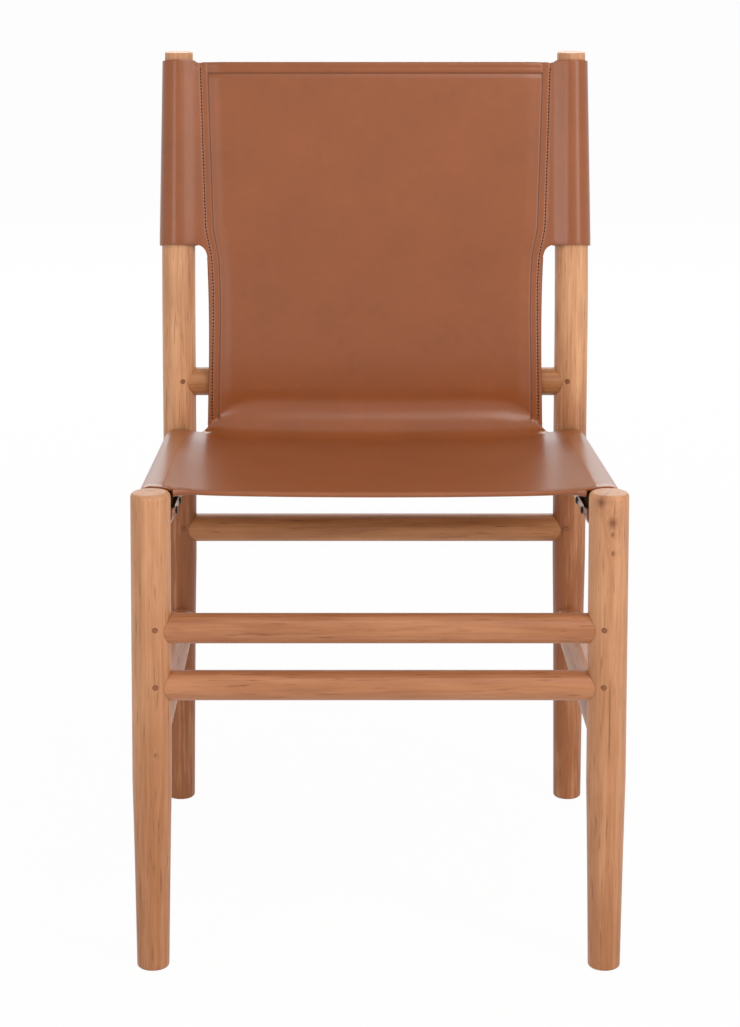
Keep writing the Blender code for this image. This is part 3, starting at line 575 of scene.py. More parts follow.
def sleeve_wing(side, height):
    """Leather from the panel's edge round a post to the end of the flap behind the panel."""
    offset = sleeve_offset(height)
    post = post_axis_x(height)
    layers = max(1, layers_behind(height))
    flap_back = layers * (LEATHER + LEATHER_GAP) - offset + set_back(height, PANEL_HALF)
    seam_back = flap_back + SEAM_RADIUS
    reach = math.sqrt((offset + SEAM_RADIUS) ** 2 - seam_back ** 2)
    places = [(x, set_back(height, x) - offset) for x in evenly(PANEL_HALF, post, 8)]
    for angle in evenly(0, 2 * math.pi - math.atan2(reach, -seam_back), 36):
        places.append((post + offset * math.sin(angle), -offset * math.cos(angle)))
    for angle in evenly(math.atan2(-seam_back, reach), -math.pi / 2, 6):
        x = post - reach + SEAM_RADIUS * math.cos(angle)
        places.append((x, seam_back + SEAM_RADIUS * math.sin(angle)))
    places += [(x, flap_back) for x in evenly(post - reach, FLAP_END, 6)]
    return [on_post_plane(height, side * x, back) - top_drop(height, x) for x, back in places]


print("rows down the sleeves", len(sleeve_heights()))

# %% [markdown]
# ## Seat, fold and rails
#
# Leather that hangs between two rails leaves them at a slope, dips and runs nearly level across,
# lowest in the middle. Where the back turns forward into the seat it can't crease sharply: the
# fold is wide and even across the chair, and tight only at the two edges, where the rails start.
# These curves are short formulas, so they are written as functions of a place on the chair.

# %% Seat
SEAT_RISE = math.radians(15)
SEAT_DIP, SAG_ENDS, SAG_MIDDLE = 0.004, 0.0025, 0.0045


def seat_front():
    """Place of the seat's front edge, at the backs of the front legs."""
    return FRONT_AXIS_Y + FRONT_LEG_RADIUS + LEATHER_GAP


def seat_rear():
    """Place where the back comes down to the seat."""
    return on_post_plane(WAIST_LOW_HEIGHT, 0, -sleeve_offset(WAIST_LOW_HEIGHT)).y


def seat_height(x, y):
    """Height of the seat's middle layer between the rails."""
    offset = RAIL_ROUND + LEATHER_GAP + LEATHER / 2
    leave_x = rail_x(y) - (RAIL_WIDTH / 2 - RAIL_ROUND) - offset * math.sin(SEAT_RISE)
    leave_z = rail_height(y) + RAIL_THICKNESS / 2 - RAIL_ROUND + offset * math.cos(SEAT_RISE)
    fade = SEAT_DIP / math.tan(SEAT_RISE)
    dip = SEAT_DIP * (1 - math.exp(-(leave_x - abs(x)) / fade))
    share = min(1, max(0, (y - seat_front()) / (seat_rear() - seat_front())))
    sag = SAG_ENDS + (SAG_MIDDLE - SAG_ENDS) * math.sin(math.pi * share)
    return leave_z - dip - sag * (1 - (x / leave_x) ** 2) - groove(y - seat_front() - FRONT_ROW)


print("seat runs from", round(seat_front(), 4), "to", round(seat_rear(), 4))

# %% Fold from back to seat
FOLD_SIDE, FOLD_MIDDLE, FOLD_EVENNESS = 0.0035, 0.038, 10
ROWS_END_HEIGHT, ROWS_END_FADE = 0.420, 0.005


def fold_half(share):
    """Half width of the leather down the fold, which widens to reach the rails."""
    return WAIST_LOW_HALF + (PANEL_HALF - WAIST_LOW_HALF) * (1 - math.sqrt(1 - share ** 2))


def fold_point(x, half, share):
    """Point on the fold from back to seat, from its top at nought to the seat at one."""
    middle = 1 - abs(x / half) ** FOLD_EVENNESS
    radius = FOLD_SIDE + (FOLD_MIDDLE - FOLD_SIDE) * middle
    turn = math.pi / 2 + RAIL_SLOPE
    length = LOWER_NOTCH + (FOLD_MIDDLE * turn - LOWER_NOTCH) * middle
    left = (1 - share) * length
    y = seat_rear() - radius
    centre_z = seat_height(x, y) + radius / math.cos(RAIL_SLOPE)
    outer, inner = row_x(OUTER_ROW, WAIST_LOW_HEIGHT), row_x(INNER_ROW, WAIST_LOW_HEIGHT)
    dent = groove(abs(x) - outer) + groove(abs(x) - inner)
    dent *= smooth_step((centre_z + left - radius * turn - ROWS_END_HEIGHT) / ROWS_END_FADE + 1)
    if left > radius * turn:
        return Vector((x, seat_rear() + dent, centre_z + left - radius * turn))
    angle = turn - left / radius
    radius += dent
    return Vector((x, y + radius * math.cos(angle), centre_z - radius * math.sin(angle)))


print("fold starts at", round(fold_point(0, PANEL_HALF, 0).z, 4))

# %% Leather round the rails
SKIVE, SKIVE_RUN = 0.0012, 0.006
FLAP_DROP = 0.0025
TACKS, TACK_FRONT_MARGIN, TACK_REAR_MARGIN = 7, 0.027, 0.015
TACK_BULGE, TACK_LIFT = 0.0009, 0.0012
COPE_START, COPE_RUN, COPE_FADE, COPE_REACH_SHARE = 0.178, 0.009, 0.03, 0.75


def tack_phase(y):
    """One at each tack, minus one midway between two."""
    first = seat_front() + TACK_FRONT_MARGIN
    last = seat_rear() - FOLD_SIDE - TACK_REAR_MARGIN
    return math.cos(2 * math.pi * (y - first) / ((last - first) / (TACKS - 1)))


def cope(x, y):
    """How far the leather's front edge reaches forward beside a leg, whose curve it follows."""
    reach = FRONT_LEG_RADIUS + LEATHER_GAP
    beside = min(abs(abs(x) - post_axis_x(RAIL_FRONT_HEIGHT)), reach * COPE_REACH_SHARE)
    ramp = smooth_step((abs(x) - COPE_START) / COPE_RUN)
    fade = smooth_step(1 - (y - seat_front()) / COPE_FADE)
    return ramp * (reach - math.sqrt(reach ** 2 - beside ** 2)) * fade


def rail_wing(side, y):
    """Leather from the seat round a rail to its tacked edge, thinned at the rail's front end."""
    skived = SKIVE * smooth_step(1 - (y - seat_front()) / SKIVE_RUN)
    offset = RAIL_ROUND + LEATHER_GAP + LEATHER / 2 - skived
    flat = RAIL_WIDTH / 2 - RAIL_ROUND
    tall = RAIL_THICKNESS / 2 - RAIL_ROUND
    centre_x, centre_z = rail_x(y), rail_height(y)
    places = []
    turns = (
        (-flat, tall, -SEAT_RISE, 0, 3),
        (flat, tall, 0, math.pi / 2, 6),
        (flat, -tall, math.pi / 2, math.pi, 6),
        (-flat, -tall, math.pi, 1.5 * math.pi, 6),
    )
    for out, up, start, end, steps in turns:
        for angle in [start] + evenly(start, end, steps):
            z = centre_z + up + offset * math.cos(angle)
            places.append((centre_x + out + offset * math.sin(angle), z))
    bulge = (1 - tack_phase(y)) / 2
    for share in evenly(0, 1, 4):
        z = centre_z - tall + (tall - FLAP_DROP + TACK_LIFT * bulge) * share
        places.append((centre_x - flat - offset - TACK_BULGE * bulge * share ** 2, z))
    return [Vector((side * x, y - cope(x, y), z)) for x, z in places]


print("points round a rail", len(rail_wing(1, seat_rear())))

# %% [markdown]
# ## Rows of the loft
#
# Each row holds the points of the panel and, where the leather has them, those of its two wings:
# a sleeve, a turned side hem, or the wrap round a rail. Rows of the same kind are joined over
# their whole width, and rows of unlike kinds over the panel only. So the sleeves end in a free
# lower edge and the wraps start with one, as the cut leather does at its notches.

# %% Rows of the back
SIDE_HEM, SIDE_HEM_START = 0.016, 0.010
NOTCH_ROWS, WAIST_ROWS = 7, 33


def post_directions(height):
    """Up along the posts, and square to them to the back."""
    lean = post_lean(height)[1]
    return Vector((0, math.sin(lean), math.cos(lean))), Vector((0, math.cos(lean), -math.sin(lean)))


def hemmed_row(panel, behind, roll):
    """Row whose two side edges are turned behind it."""
    left = turned_hem(panel[0], Vector((-1, 0, 0)), behind, SIDE_HEM, roll)
    right = turned_hem(panel[-1], Vector((1, 0, 0)), behind, SIDE_HEM, roll)
    return "waist", left, panel, right


def sleeve_rows():
    """Rows of the top hem, and those from the top edge to the sleeves' lower edge."""
    rows = []
    for height in sleeve_heights():
        columns = panel_columns(PANEL_HALF, height)
        panel = [back_point(height, x) - top_drop(height, x) for x in columns]
        rows.append(("sleeve", sleeve_wing(-1, height), panel, sleeve_wing(1, height)))
    up, back = post_directions(SLEEVE_TOP)
    hems = [turned_hem(point, up, back, TOP_HEM, roll_share(point.x)) for point in rows[0][2]]
    for panel in zip(*hems):
        rows.insert(0, ("hem", [], [None, *panel[1:-1], None], []))
    return rows


def waist_rows():
    """Rows from the notch below the sleeves down to the fold."""
    rows = []
    for angle in evenly(0, math.pi / 2, NOTCH_ROWS)[:-1]:
        height = SLEEVE_LOW - UPPER_NOTCH * (1 - math.cos(angle))
        half = PANEL_HALF - (PANEL_HALF - WAIST_TOP_HALF) * math.sin(angle)
        rows.append(("notch", [], [back_point(height, x) for x in panel_columns(half, height)], []))
    top, low = SLEEVE_LOW - UPPER_NOTCH, fold_point(0, PANEL_HALF, 0).z
    for step in range(WAIST_ROWS):
        height = top + (low - top) * step / WAIST_ROWS
        roll = smooth_step((top - height) / SIDE_HEM_START)
        half = waist_half(height) - LEATHER / 2 - ROLL_RADIUS * roll
        panel = [back_point(height, x) for x in panel_columns(half, height)]
        rows.append(hemmed_row(panel, post_directions(height)[1], roll))
    return rows


SLING_ROWS = sleeve_rows() + waist_rows()
print("rows of the back", len(SLING_ROWS))

# %% Rows of fold and seat
HEM_END_SHARE, HEM_FADE_SHARE = 0.28, 0.15
FRONT_HEM, HEM_HANG, HANG_START = 0.016, 1.1, 0.166
FOLD_ROWS, SEAT_ROWS = 24, 56


def fold_rows():
    """Rows round the fold, where the side hems end. The last row is the seat's first."""
    rows = []
    for step in range(FOLD_ROWS + 1):
        share = math.sin(math.pi / 2 * step / FOLD_ROWS)
        roll = smooth_step((HEM_END_SHARE - share) / HEM_FADE_SHARE)
        half = fold_half(share) - LEATHER / 2 * (1 - smooth_step(share)) - ROLL_RADIUS * roll
        panel = [fold_point(x, half, share) for x in panel_columns(half, WAIST_LOW_HEIGHT)]
        if share < HEM_END_SHARE:
            rows.append(hemmed_row(panel, Vector((0, 1, 0)), roll))
        else:
            rows.append(("fold", [], panel, []))
    return rows


def seat_rows(start):
    """Rows from the fold to the front edge, with the leather round the rails."""
    run = start[0].y - seat_front()
    shares = [step / SEAT_ROWS for step in range(SEAT_ROWS + 1)]
    shares += [1 - FRONT_ROW * away / run for away in (2, 1.5, 1, 0.5)]
    rows = []
    for share in sorted(shares):
        panel = []
        for point in start:
            y = point.y + (seat_front() - point.y) * share
            panel.append(Vector((point.x, y - cope(point.x, y), seat_height(point.x, y))))
        edge_y = start[0].y + (seat_front() - start[0].y) * share
        rows.append(("seat", rail_wing(-1, edge_y), panel, rail_wing(1, edge_y)))
    return rows


def front_hem_rows(kind, left, edge, right):
    """Rows of the hem below the seat's front edge, which hangs a little near the rails."""
    forward = Vector((0, -math.cos(RAIL_SLOPE), math.sin(RAIL_SLOPE)))
    down = Vector((0, -math.sin(RAIL_SLOPE), -math.cos(RAIL_SLOPE)))
    hems = []
    for point in edge:
        hang = 1 + HEM_HANG * smooth_step((abs(point.x) - HANG_START) / (PANEL_HALF - HANG_START))
        hems.append(turned_hem(point, forward, down * hang, FRONT_HEM))
    return [(kind, [None] * len(left), list(panel), [None] * len(right)) for panel in zip(*hems)]


SLING_ROWS += fold_rows()
seat_start = SLING_ROWS.pop()[2]
SLING_ROWS += seat_rows(seat_start)
SLING_ROWS += front_hem_rows(*SLING_ROWS[-1])
print("rows in all", len(SLING_ROWS))


# %% Loft the middle layer
def run_lengths(points):
    """Running distance along a list of points."""
    lengths = [0]
    for before, after in zip(points, points[1:]):
        lengths.append(lengths[-1] + (after - before).length)
    return lengths


def loft_sling(rows):
    """Open mesh of the middle layer, its grain side forward and up, with its flat pattern as UV."""
    shape = bmesh.new()
    layer = shape.loops.layers.uv.new("flat")
    middle = len(rows[0][2]) // 2
    downs = run_lengths([panel[middle] for _, _, panel, _ in rows])
    flat = {}
    planted = []
    for (kind, left, panel, right), down in zip(rows, downs):
        points = left[::-1] + panel + right
        first = next(at for at, point in enumerate(points) if point is not None)
        known = [point for point in points if point is not None]
        places = run_lengths(known)
        centre = places[len(left) + middle - first]
        row = [None] * first
        for point, place in zip(known, places):
            vertex = shape.verts.new(point)
            flat[vertex] = (place - centre, down)
            row.append(vertex)
        row += [None] * (len(points) - len(row))
        planted.append((kind, len(left), len(panel), row))
    for (kind, left, count, upper), (next_kind, next_left, _, lower) in zip(planted, planted[1:]):
        if kind != next_kind or left != next_left:
            upper = upper[left:left + count]
            lower = lower[next_left:next_left + count]
        for at in range(len(upper) - 1):
            corners = [lower[at], lower[at + 1], upper[at + 1], upper[at]]
            if None not in corners:
                face = shape.faces.new(corners)
                for loop in face.loops:
                    loop[layer].uv = flat[loop.vert]
    loose = [vertex for vertex in shape.verts if not vertex.link_faces]
    bmesh.ops.delete(shape, geom=loose, context="VERTS")
    mesh = bpy.data.meshes.new("sling_leather")
    shape.to_mesh(mesh)
    shape.free()
    across = [place for place, _ in flat.values()]
    return mesh, max(across) - min(across), downs[-1]


sling_middle, CUT_WIDTH, CUT_LENGTH = loft_sling(SLING_ROWS)
print("cut from", round(CUT_WIDTH, 3), "by", round(CUT_LENGTH, 3), "m,", len(sling_middle.polygons), "faces")

# %% [markdown]
# ## Leather finish
#
# The hide is dyed through and lightly polished: warm brown, a little uneven, with a fine grain
# that shows only where light grazes it. Three finishes share the piece, as on real leather: the
# smooth grain side, the paler, duller flesh side that faces the wood, and the darker painted cut
# edge. The grain follows the flat pattern that the leather was cut from, so the texture runs
# round posts and rails without stretching.

# %% Grain side, flesh side and edge
# The third brown is painted shade, laid into the stitched creases.
BACK_BROWN, DEEP_BROWN, CREASE_SHADE_BROWN = srgb("9C562C"), srgb("844A25"), srgb("4A2212")


def leather_grain():
    """Smooth grain side."""
    finish = Finish("leather_grain")
    flat = finish.node("UVMap", {"uv_map": "flat"})
    clouds = finish.noise(flat, 14, 3, 0.55)
    mottle = finish.noise(flat, 90, 3, 0.6)
    fine = finish.noise(flat, 1500, 2, 0.5)
    depth = finish.ramp(clouds, 0.3, 0.75) * 0.45 + finish.ramp(mottle, 0.35, 0.7) * 0.2
    colour = finish.blend(depth, BACK_BROWN, DEEP_BROWN)
    # Painted shade: the colour darkens towards a dark brown in the stitched creases, where the finish is
    # also duller.
    crease_shade = finish.node("Attribute", {"attribute_name": "crease_shade"}, out=2)
    colour = finish.blend(crease_shade * 0.8, colour, CREASE_SHADE_BROWN)
    bumped = finish.bump(mottle + fine * 0.03, 0.012, 0.001)
    rough = 0.28 + crease_shade * 0.3
    finish.dress(Base_Color=colour, Roughness=rough, Normal=bumped, Specular_IOR_Level=0.5)
    return finish.material


def leather_flesh():
    """Inner side, left as it was split: paler and dull, with short fibres."""
    finish = Finish("leather_flesh")
    flat = finish.node("UVMap", {"uv_map": "flat"})
    clouds = finish.noise(flat, 30, 3, 0.6)
    nap = finish.noise(flat, 900, 3, 0.7)
    colour = finish.blend(clouds * 0.5 + nap * 0.4, srgb("8F5D3F"), srgb("6E4329"))
    finish.dress(Base_Color=colour, Roughness=0.85, Normal=finish.bump(nap, 0.3, 0.0005))
    return finish.material


def leather_edge():
    """Cut edge, painted dark and burnished."""
    finish = Finish("leather_edge")
    place = finish.place()
    worn = finish.noise(place, 220, 2, 0.6)
    colour = finish.blend(finish.ramp(worn, 0.35, 0.75), srgb("4A2415"), srgb("6B3A22"))
    finish.dress(Base_Color=colour, Roughness=0.45, Normal=finish.bump(worn, 0.15, 0.0003))
    return finish.material


GRAIN, FLESH, EDGE = leather_grain(), leather_flesh(), leather_edge()
print("leather finishes", GRAIN.name, FLESH.name, EDGE.name)


# %% Give the leather its thickness
def as_plain_mesh(piece):
    """Replace a piece's mesh by its evaluated one and clear its modifiers."""
    depsgraph = bpy.context.evaluated_depsgraph_get()
    mesh = bpy.data.meshes.new_from_object(piece.evaluated_get(depsgraph))
    piece.modifiers.clear()
    piece.data = mesh
    return mesh


CUT_EDGE_ROUND, CUT_EDGE_ANGLE = 0.0006, math.radians(60)
CREASE_ANGLE = math.radians(50)
FRONT_EDGE_REACH = 0.0005


def finish_sling(middle):
    """Solid leather with rounded cut edges."""
    piece = bpy.data.objects.new("sling_leather", middle)
    bpy.context.scene.collection.objects.link(piece)
    for material in (GRAIN, FLESH, EDGE):
        piece.data.materials.append(material)
    wall = piece.modifiers.new("thickness", "SOLIDIFY")
    wall.thickness = LEATHER
    wall.offset = 0
    wall.use_even_offset = True
    wall.use_quality_normals = True
    wall.material_offset = 1
    wall.material_offset_rim = 2
    edge = piece.modifiers.new("cut_edge", "BEVEL")
    edge.limit_method = "ANGLE"
    edge.angle_limit = CUT_EDGE_ANGLE
    edge.width = CUT_EDGE_ROUND
    edge.segments = 2
    mesh = as_plain_mesh(piece)
    mesh.shade_smooth()
    mesh.set_sharp_from_angle(angle=CREASE_ANGLE)
    # The seat's front edge is turned under, so it shows its grain side and no cut edge
    for face in mesh.polygons:
        if face.material_index == 2 and face.center.y < seat_front() + FRONT_EDGE_REACH:
            face.material_index = 0
    return piece


SLING = finish_sling(sling_middle)

# %% [markdown]
# ## Stitching
#
# Two rows of dark thread run down each side of the back, through panel and sleeve flap and then
# through the turned side hems. A row crosses below the top edge and another follows the front
# edge of the seat. More than a thousand stitches are all the same short length of thread, so one
# is made and Geometry Nodes set it along the rows at an even pitch. The rows themselves are
# worked out on the leather's two faces, from the same functions as the leather. In the outer rows
# the thread's middle lies on the leather's face, in the others just below it. The inner rows and
# the top row are pulled into a crease, and the shade in that crease is painted: the leather gets
# an attribute that says how near the next crease is, and its colour is darkened there.

# %% Where the rows run
RAISED, SUNK, CREASE_SHADE_REACH = -0.0001, 0.00055, 0.0012
OUTER_ROW_DOWN, FRONT_ROW_END = 0.007, 0.002
FOLD_ROW_STEPS = 50
ROW_SHARES = [0] + evenly(0, 1, 60)


def back_seam(height, x, face, sink):
    """Point of a row on the front (-1) or rear (1) face of the sewn back."""
    depth = back_depth(height, x)
    if face < 0:
        depth = depth - LEATHER / 2 + sink
    else:
        depth = depth + layers_behind(height) * (LEATHER + LEATHER_GAP) + LEATHER / 2 - sink
    return on_post_plane(height, x, depth) - top_drop(height, x)


def fold_seam(x, face, sink):
    """Part of a row that runs on down the fold, on its front (-1) or rear (1) face."""
    path = []
    for step in range(1, FOLD_ROW_STEPS):
        share = step / FOLD_ROW_STEPS
        place = fold_point(x, fold_half(share), share)
        if place.z < ROWS_END_HEIGHT:
            break
        along = (fold_point(x, fold_half(share), share + 0.5 / FOLD_ROW_STEPS) - place).normalized()
        normal = Vector((0, along.z, -along.y))
        lift = LEATHER / 2 - sink if face < 0 else sink - LEATHER * 1.5 - LEATHER_GAP
        path.append(place + normal * lift)
    return path


def side_seam(side, face, table, down, sink):
    """Row down one side of the back and on round the fold."""
    top, low = SLEEVE_TOP - down, fold_point(0, PANEL_HALF, 0).z
    path = []
    for share in ROW_SHARES:
        height = top + (low - top) * share
        path.append(back_seam(height, side * row_x(table, height), face, sink))
    return path + fold_seam(side * row_x(table, WAIST_LOW_HEIGHT), face, sink)


def top_seam(face):
    """Row across below the top edge."""
    height = SLEEVE_TOP - TOP_ROW
    half = row_x(INNER_ROW, height)
    return [back_seam(height, half * (1 - 2 * share), face, SUNK) for share in ROW_SHARES]


def front_seam(face):
    """Row along the front edge of the seat, above (-1) or below (1) the leather."""
    half, y = PANEL_HALF - FRONT_ROW_END, seat_front() + FRONT_ROW
    below = LEATHER * 1.5 + LEATHER_GAP - GROOVE_DEPTH - SUNK
    lift = LEATHER / 2 - SUNK / 2 if face < 0 else -below
    places = [half * (1 - 2 * share) for share in ROW_SHARES]
    return [Vector((x, y, seat_height(x, y) + lift)) for x in places]


def seams():
    """Rows of stitches as lists of points, and those of them that crease the leather."""
    paths, creases = [], []
    for face in (-1, 1):
        for side in (-1, 1):
            paths.append(side_seam(side, face, OUTER_ROW, OUTER_ROW_DOWN, RAISED))
            paths.append(side_seam(side, face, INNER_ROW, TOP_ROW, SUNK))
            creases.append(paths[-1])
        paths.append(top_seam(face))
        creases.append(paths[-1])
        paths.append(front_seam(face))
    return paths, creases


SEAM_PATHS, CREASES = seams()
print("rows of stitches", len(SEAM_PATHS), "of which creased", len(CREASES))

# %% Bare rows and painted crease shade
CREASE_STEPS = 6


def row_edges(name, paths):
    """Object of bare edges along the rows."""
    mesh = bpy.data.meshes.new(name)
    points, edges = [], []
    for path in paths:
        start = len(points)
        points += path
        edges += [(start + at, start + at + 1) for at in range(len(path) - 1)]
    mesh.from_pydata(points, edges, [])
    piece = bpy.data.objects.new(name, mesh)
    bpy.context.scene.collection.objects.link(piece)
    return piece


def mark_creases(mesh, paths):
    """Attribute of the leather for painted crease shade: one in a crease, fading to nought beside it."""
    places = [
        before.lerp(after, step / CREASE_STEPS)
        for path in paths for before, after in zip(path, path[1:]) for step in range(CREASE_STEPS)
    ]
    tree = KDTree(len(places))
    for at, place in enumerate(places):
        tree.insert(place, at)
    tree.balance()
    near = [tree.find(vertex.co)[2] / CREASE_SHADE_REACH for vertex in mesh.vertices]
    crease_shade = mesh.attributes.new("crease_shade", "FLOAT", "POINT")
    crease_shade.data.foreach_set("value", [math.exp(-distance ** 2) for distance in near])
    return len(places)


SEAMS = row_edges("thread_stitches", SEAM_PATHS)
print("creases marked from", mark_creases(SLING.data, CREASES), "places")


# %% Waxed thread
def thread_finish():
    """Dark twisted thread, dull with wax."""
    finish = Finish("waxed_thread")
    twist = finish.node("TexWave", {"wave_type": "BANDS", "bands_direction": "DIAGONAL"},
                        {"Vector": finish.place(), "Scale": 900})
    colour = finish.blend(twist, srgb("1C0D08"), srgb("38200F"))
    finish.dress(Base_Color=colour, Roughness=0.9, Normal=finish.bump(twist, 0.3, 0.0002),
                 Specular_IOR_Level=0)
    return finish.material


THREAD = thread_finish()
print("thread finish", THREAD.name)


# %% Stitch tree
def stitch_tree():
    """Geometry Nodes group: one stitch instanced along bare edges."""
    tree = bpy.data.node_groups.new("row_of_stitches", "GeometryNodeTree")
    ports = {}
    for name, kind in (
        ("Rows", "NodeSocketGeometry"), ("Pitch", "NodeSocketFloat"),
        ("Stitch Length", "NodeSocketFloat"), ("Thread Radius", "NodeSocketFloat"),
        ("Slant", "NodeSocketFloat"), ("Thread", "NodeSocketMaterial"),
    ):
        socket = tree.interface.new_socket(name, in_out="INPUT", socket_type=kind)
        ports[name] = socket.identifier
    tree.interface.new_socket("Stitches", in_out="OUTPUT", socket_type="NodeSocketGeometry")

    def add(kind, sockets, **settings):
        """Add a node with its settings, link or set its sockets, and return its outputs."""
        node = tree.nodes.new(kind)
        for name, value in settings.items():
            setattr(node, name, value)
        for key, value in sockets.items():
            if isinstance(value, bpy.types.NodeSocket):
                tree.links.new(value, node.inputs[key])
            else:
                node.inputs[key].default_value = value
        return node.outputs

    given = add("NodeGroupInput", {})
    curve = add("GeometryNodeMeshToCurve", {0: given["Rows"]})[0]
    spaced = add("GeometryNodeResampleCurve", {"Curve": curve, "Length": given["Pitch"]}, mode="LENGTH")[0]
    ball = add("GeometryNodeMeshUVSphere", {"Segments": 6, "Rings": 4, "Radius": 1})[0]
    half = add("ShaderNodeMath", {0: given["Stitch Length"], 1: 0.5}, operation="MULTIPLY")[0]
    radius = given["Thread Radius"]
    size = add("ShaderNodeCombineXYZ", {0: radius, 1: radius, 2: half})[0]
    stitch = add("GeometryNodeTransform", {"Geometry": ball, "Scale": size})[0]
    along = add("GeometryNodeInputTangent", {})[0]
    aim = add("FunctionNodeAlignRotationToVector", {"Vector": along}, axis="Z")[0]
    slant = add("ShaderNodeCombineXYZ", {0: given["Slant"], 1: given["Slant"]})[0]
    tilt = add("FunctionNodeRotateRotation", {0: aim, 1: slant}, rotation_space="LOCAL")[0]
    placed = add("GeometryNodeInstanceOnPoints", {"Points": spaced, "Instance": stitch, "Rotation": tilt})[0]
    real = add("GeometryNodeRealizeInstances", {0: placed})[0]
    dyed = add("GeometryNodeSetMaterial", {"Geometry": real, "Material": given["Thread"]})[0]
    add("NodeGroupOutput", {0: dyed})
    return tree, ports


STITCH_TREE, PORTS = stitch_tree()
print("stitch tree", len(STITCH_TREE.nodes), "nodes")

# %% Sew
STITCH = {"Pitch": 0.0034, "Stitch Length": 0.0024, "Thread Radius": 0.00075, "Slant": math.radians(4)}

sewing = SEAMS.modifiers.new("sewing", "NODES")
sewing.node_group = STITCH_TREE
for name, value in STITCH.items():
    sewing[PORTS[name]] = value
sewing[PORTS["Thread"]] = THREAD
stitched = as_plain_mesh(SEAMS)
stitched.shade_smooth()
print("stitching", len(stitched.polygons), "faces")

# %% [markdown]
# ## Wood
#
# Legs and rails are turned from a warm, open-grained hardwood under an oil finish. A turned bar
# shows the board it came from: lengthwise bands where it cuts across the growth layers, long thin
# dark lines, and here and there a small knot that the lines flow round. So the pattern is solid,
# worked out in the bar's own section and length, and each bar gets its own patch of wood. On the
# bent posts the grain follows the bend, as in wood that was bent and not sawn. A knot darkens
# the wood round it a little, unevenly, and the finish is duller where the dark lines run.

# %% Grain of a bar
def bar_axes(finish, along, centre):
    """Two distances across a bar and the distance along it, from Object coordinates."""
    x, y, z = finish.axes(finish.place())
    if along == "X":
        return y - centre[0], z - centre[1], x
    if along == "Y":
        return x - centre[0], z - centre[1] + y * math.tan(centre[2]), y
    side, front = centre
    splay = finish.ramp(z, 0, SPREAD_SEAT_HEIGHT) * ((SPREAD_SEAT - SPREAD_FLOOR) / 2) + SPREAD_FLOOR / 2
    across = x - splay * side
    if front:
        return across, y - FRONT_AXIS_Y, z
    above = z - (BEND_HEIGHT - BEND_HALF)
    bent = above.math("MAXIMUM", 0).math("MINIMUM", 2 * BEND_HALF)
    straight = (above - 2 * BEND_HALF).math("MAXIMUM", 0)
    moved = (bent * bent / (4 * BEND_HALF) + straight) * math.tan(BACK_LEAN)
    return across, y - moved - REAR_AXIS_Y, z


GIRTH_RADIUS = 0.017
KNOT_WIDTH_SHARE, KNOT_LENGTH_SHARE = 0.9, 1.3
KNOT_PULL, STREAK_FADE = 0.009, 0.02


def knot_marks(finish, axes, knots, streaks):
    """How far the knots pull the grain aside, and how dark it is in knots and streaks."""
    u, v, w = axes
    girth = u.math("ARCTAN2", 0 - v) * GIRTH_RADIUS
    pulls, spots = [], []
    for round_bar, length, size in knots:
        across = (girth - round_bar) / (size * KNOT_WIDTH_SHARE)
        lengthwise = (w - length) / (size * KNOT_LENGTH_SHARE)
        near = across * across + lengthwise * lengthwise
        pulls.append((near * -0.22).math("EXPONENT"))
        spots.append((near * -1.6).math("EXPONENT"))
    for round_bar, top, low, width in streaks:
        across = (girth - round_bar) / width
        inside = finish.ramp(w, low, low + STREAK_FADE) * finish.ramp(w, top, top - STREAK_FADE)
        spots.append((across * across * -1).math("EXPONENT") * inside * 0.8)
    return sum(pulls), sum(spots)


print("girth of a leg", round(2 * math.pi * GIRTH_RADIUS, 3))

# %% Oiled wood
BANDS, PATCHES, FIBRES, LINES = (150, 3.2), (60, 13), (420, 14), (420, 32)
LINE_BROWN, SMUDGE_BROWN, KNOT_BROWN = srgb("6A3A1C"), srgb("8E5532"), srgb("6A3517")


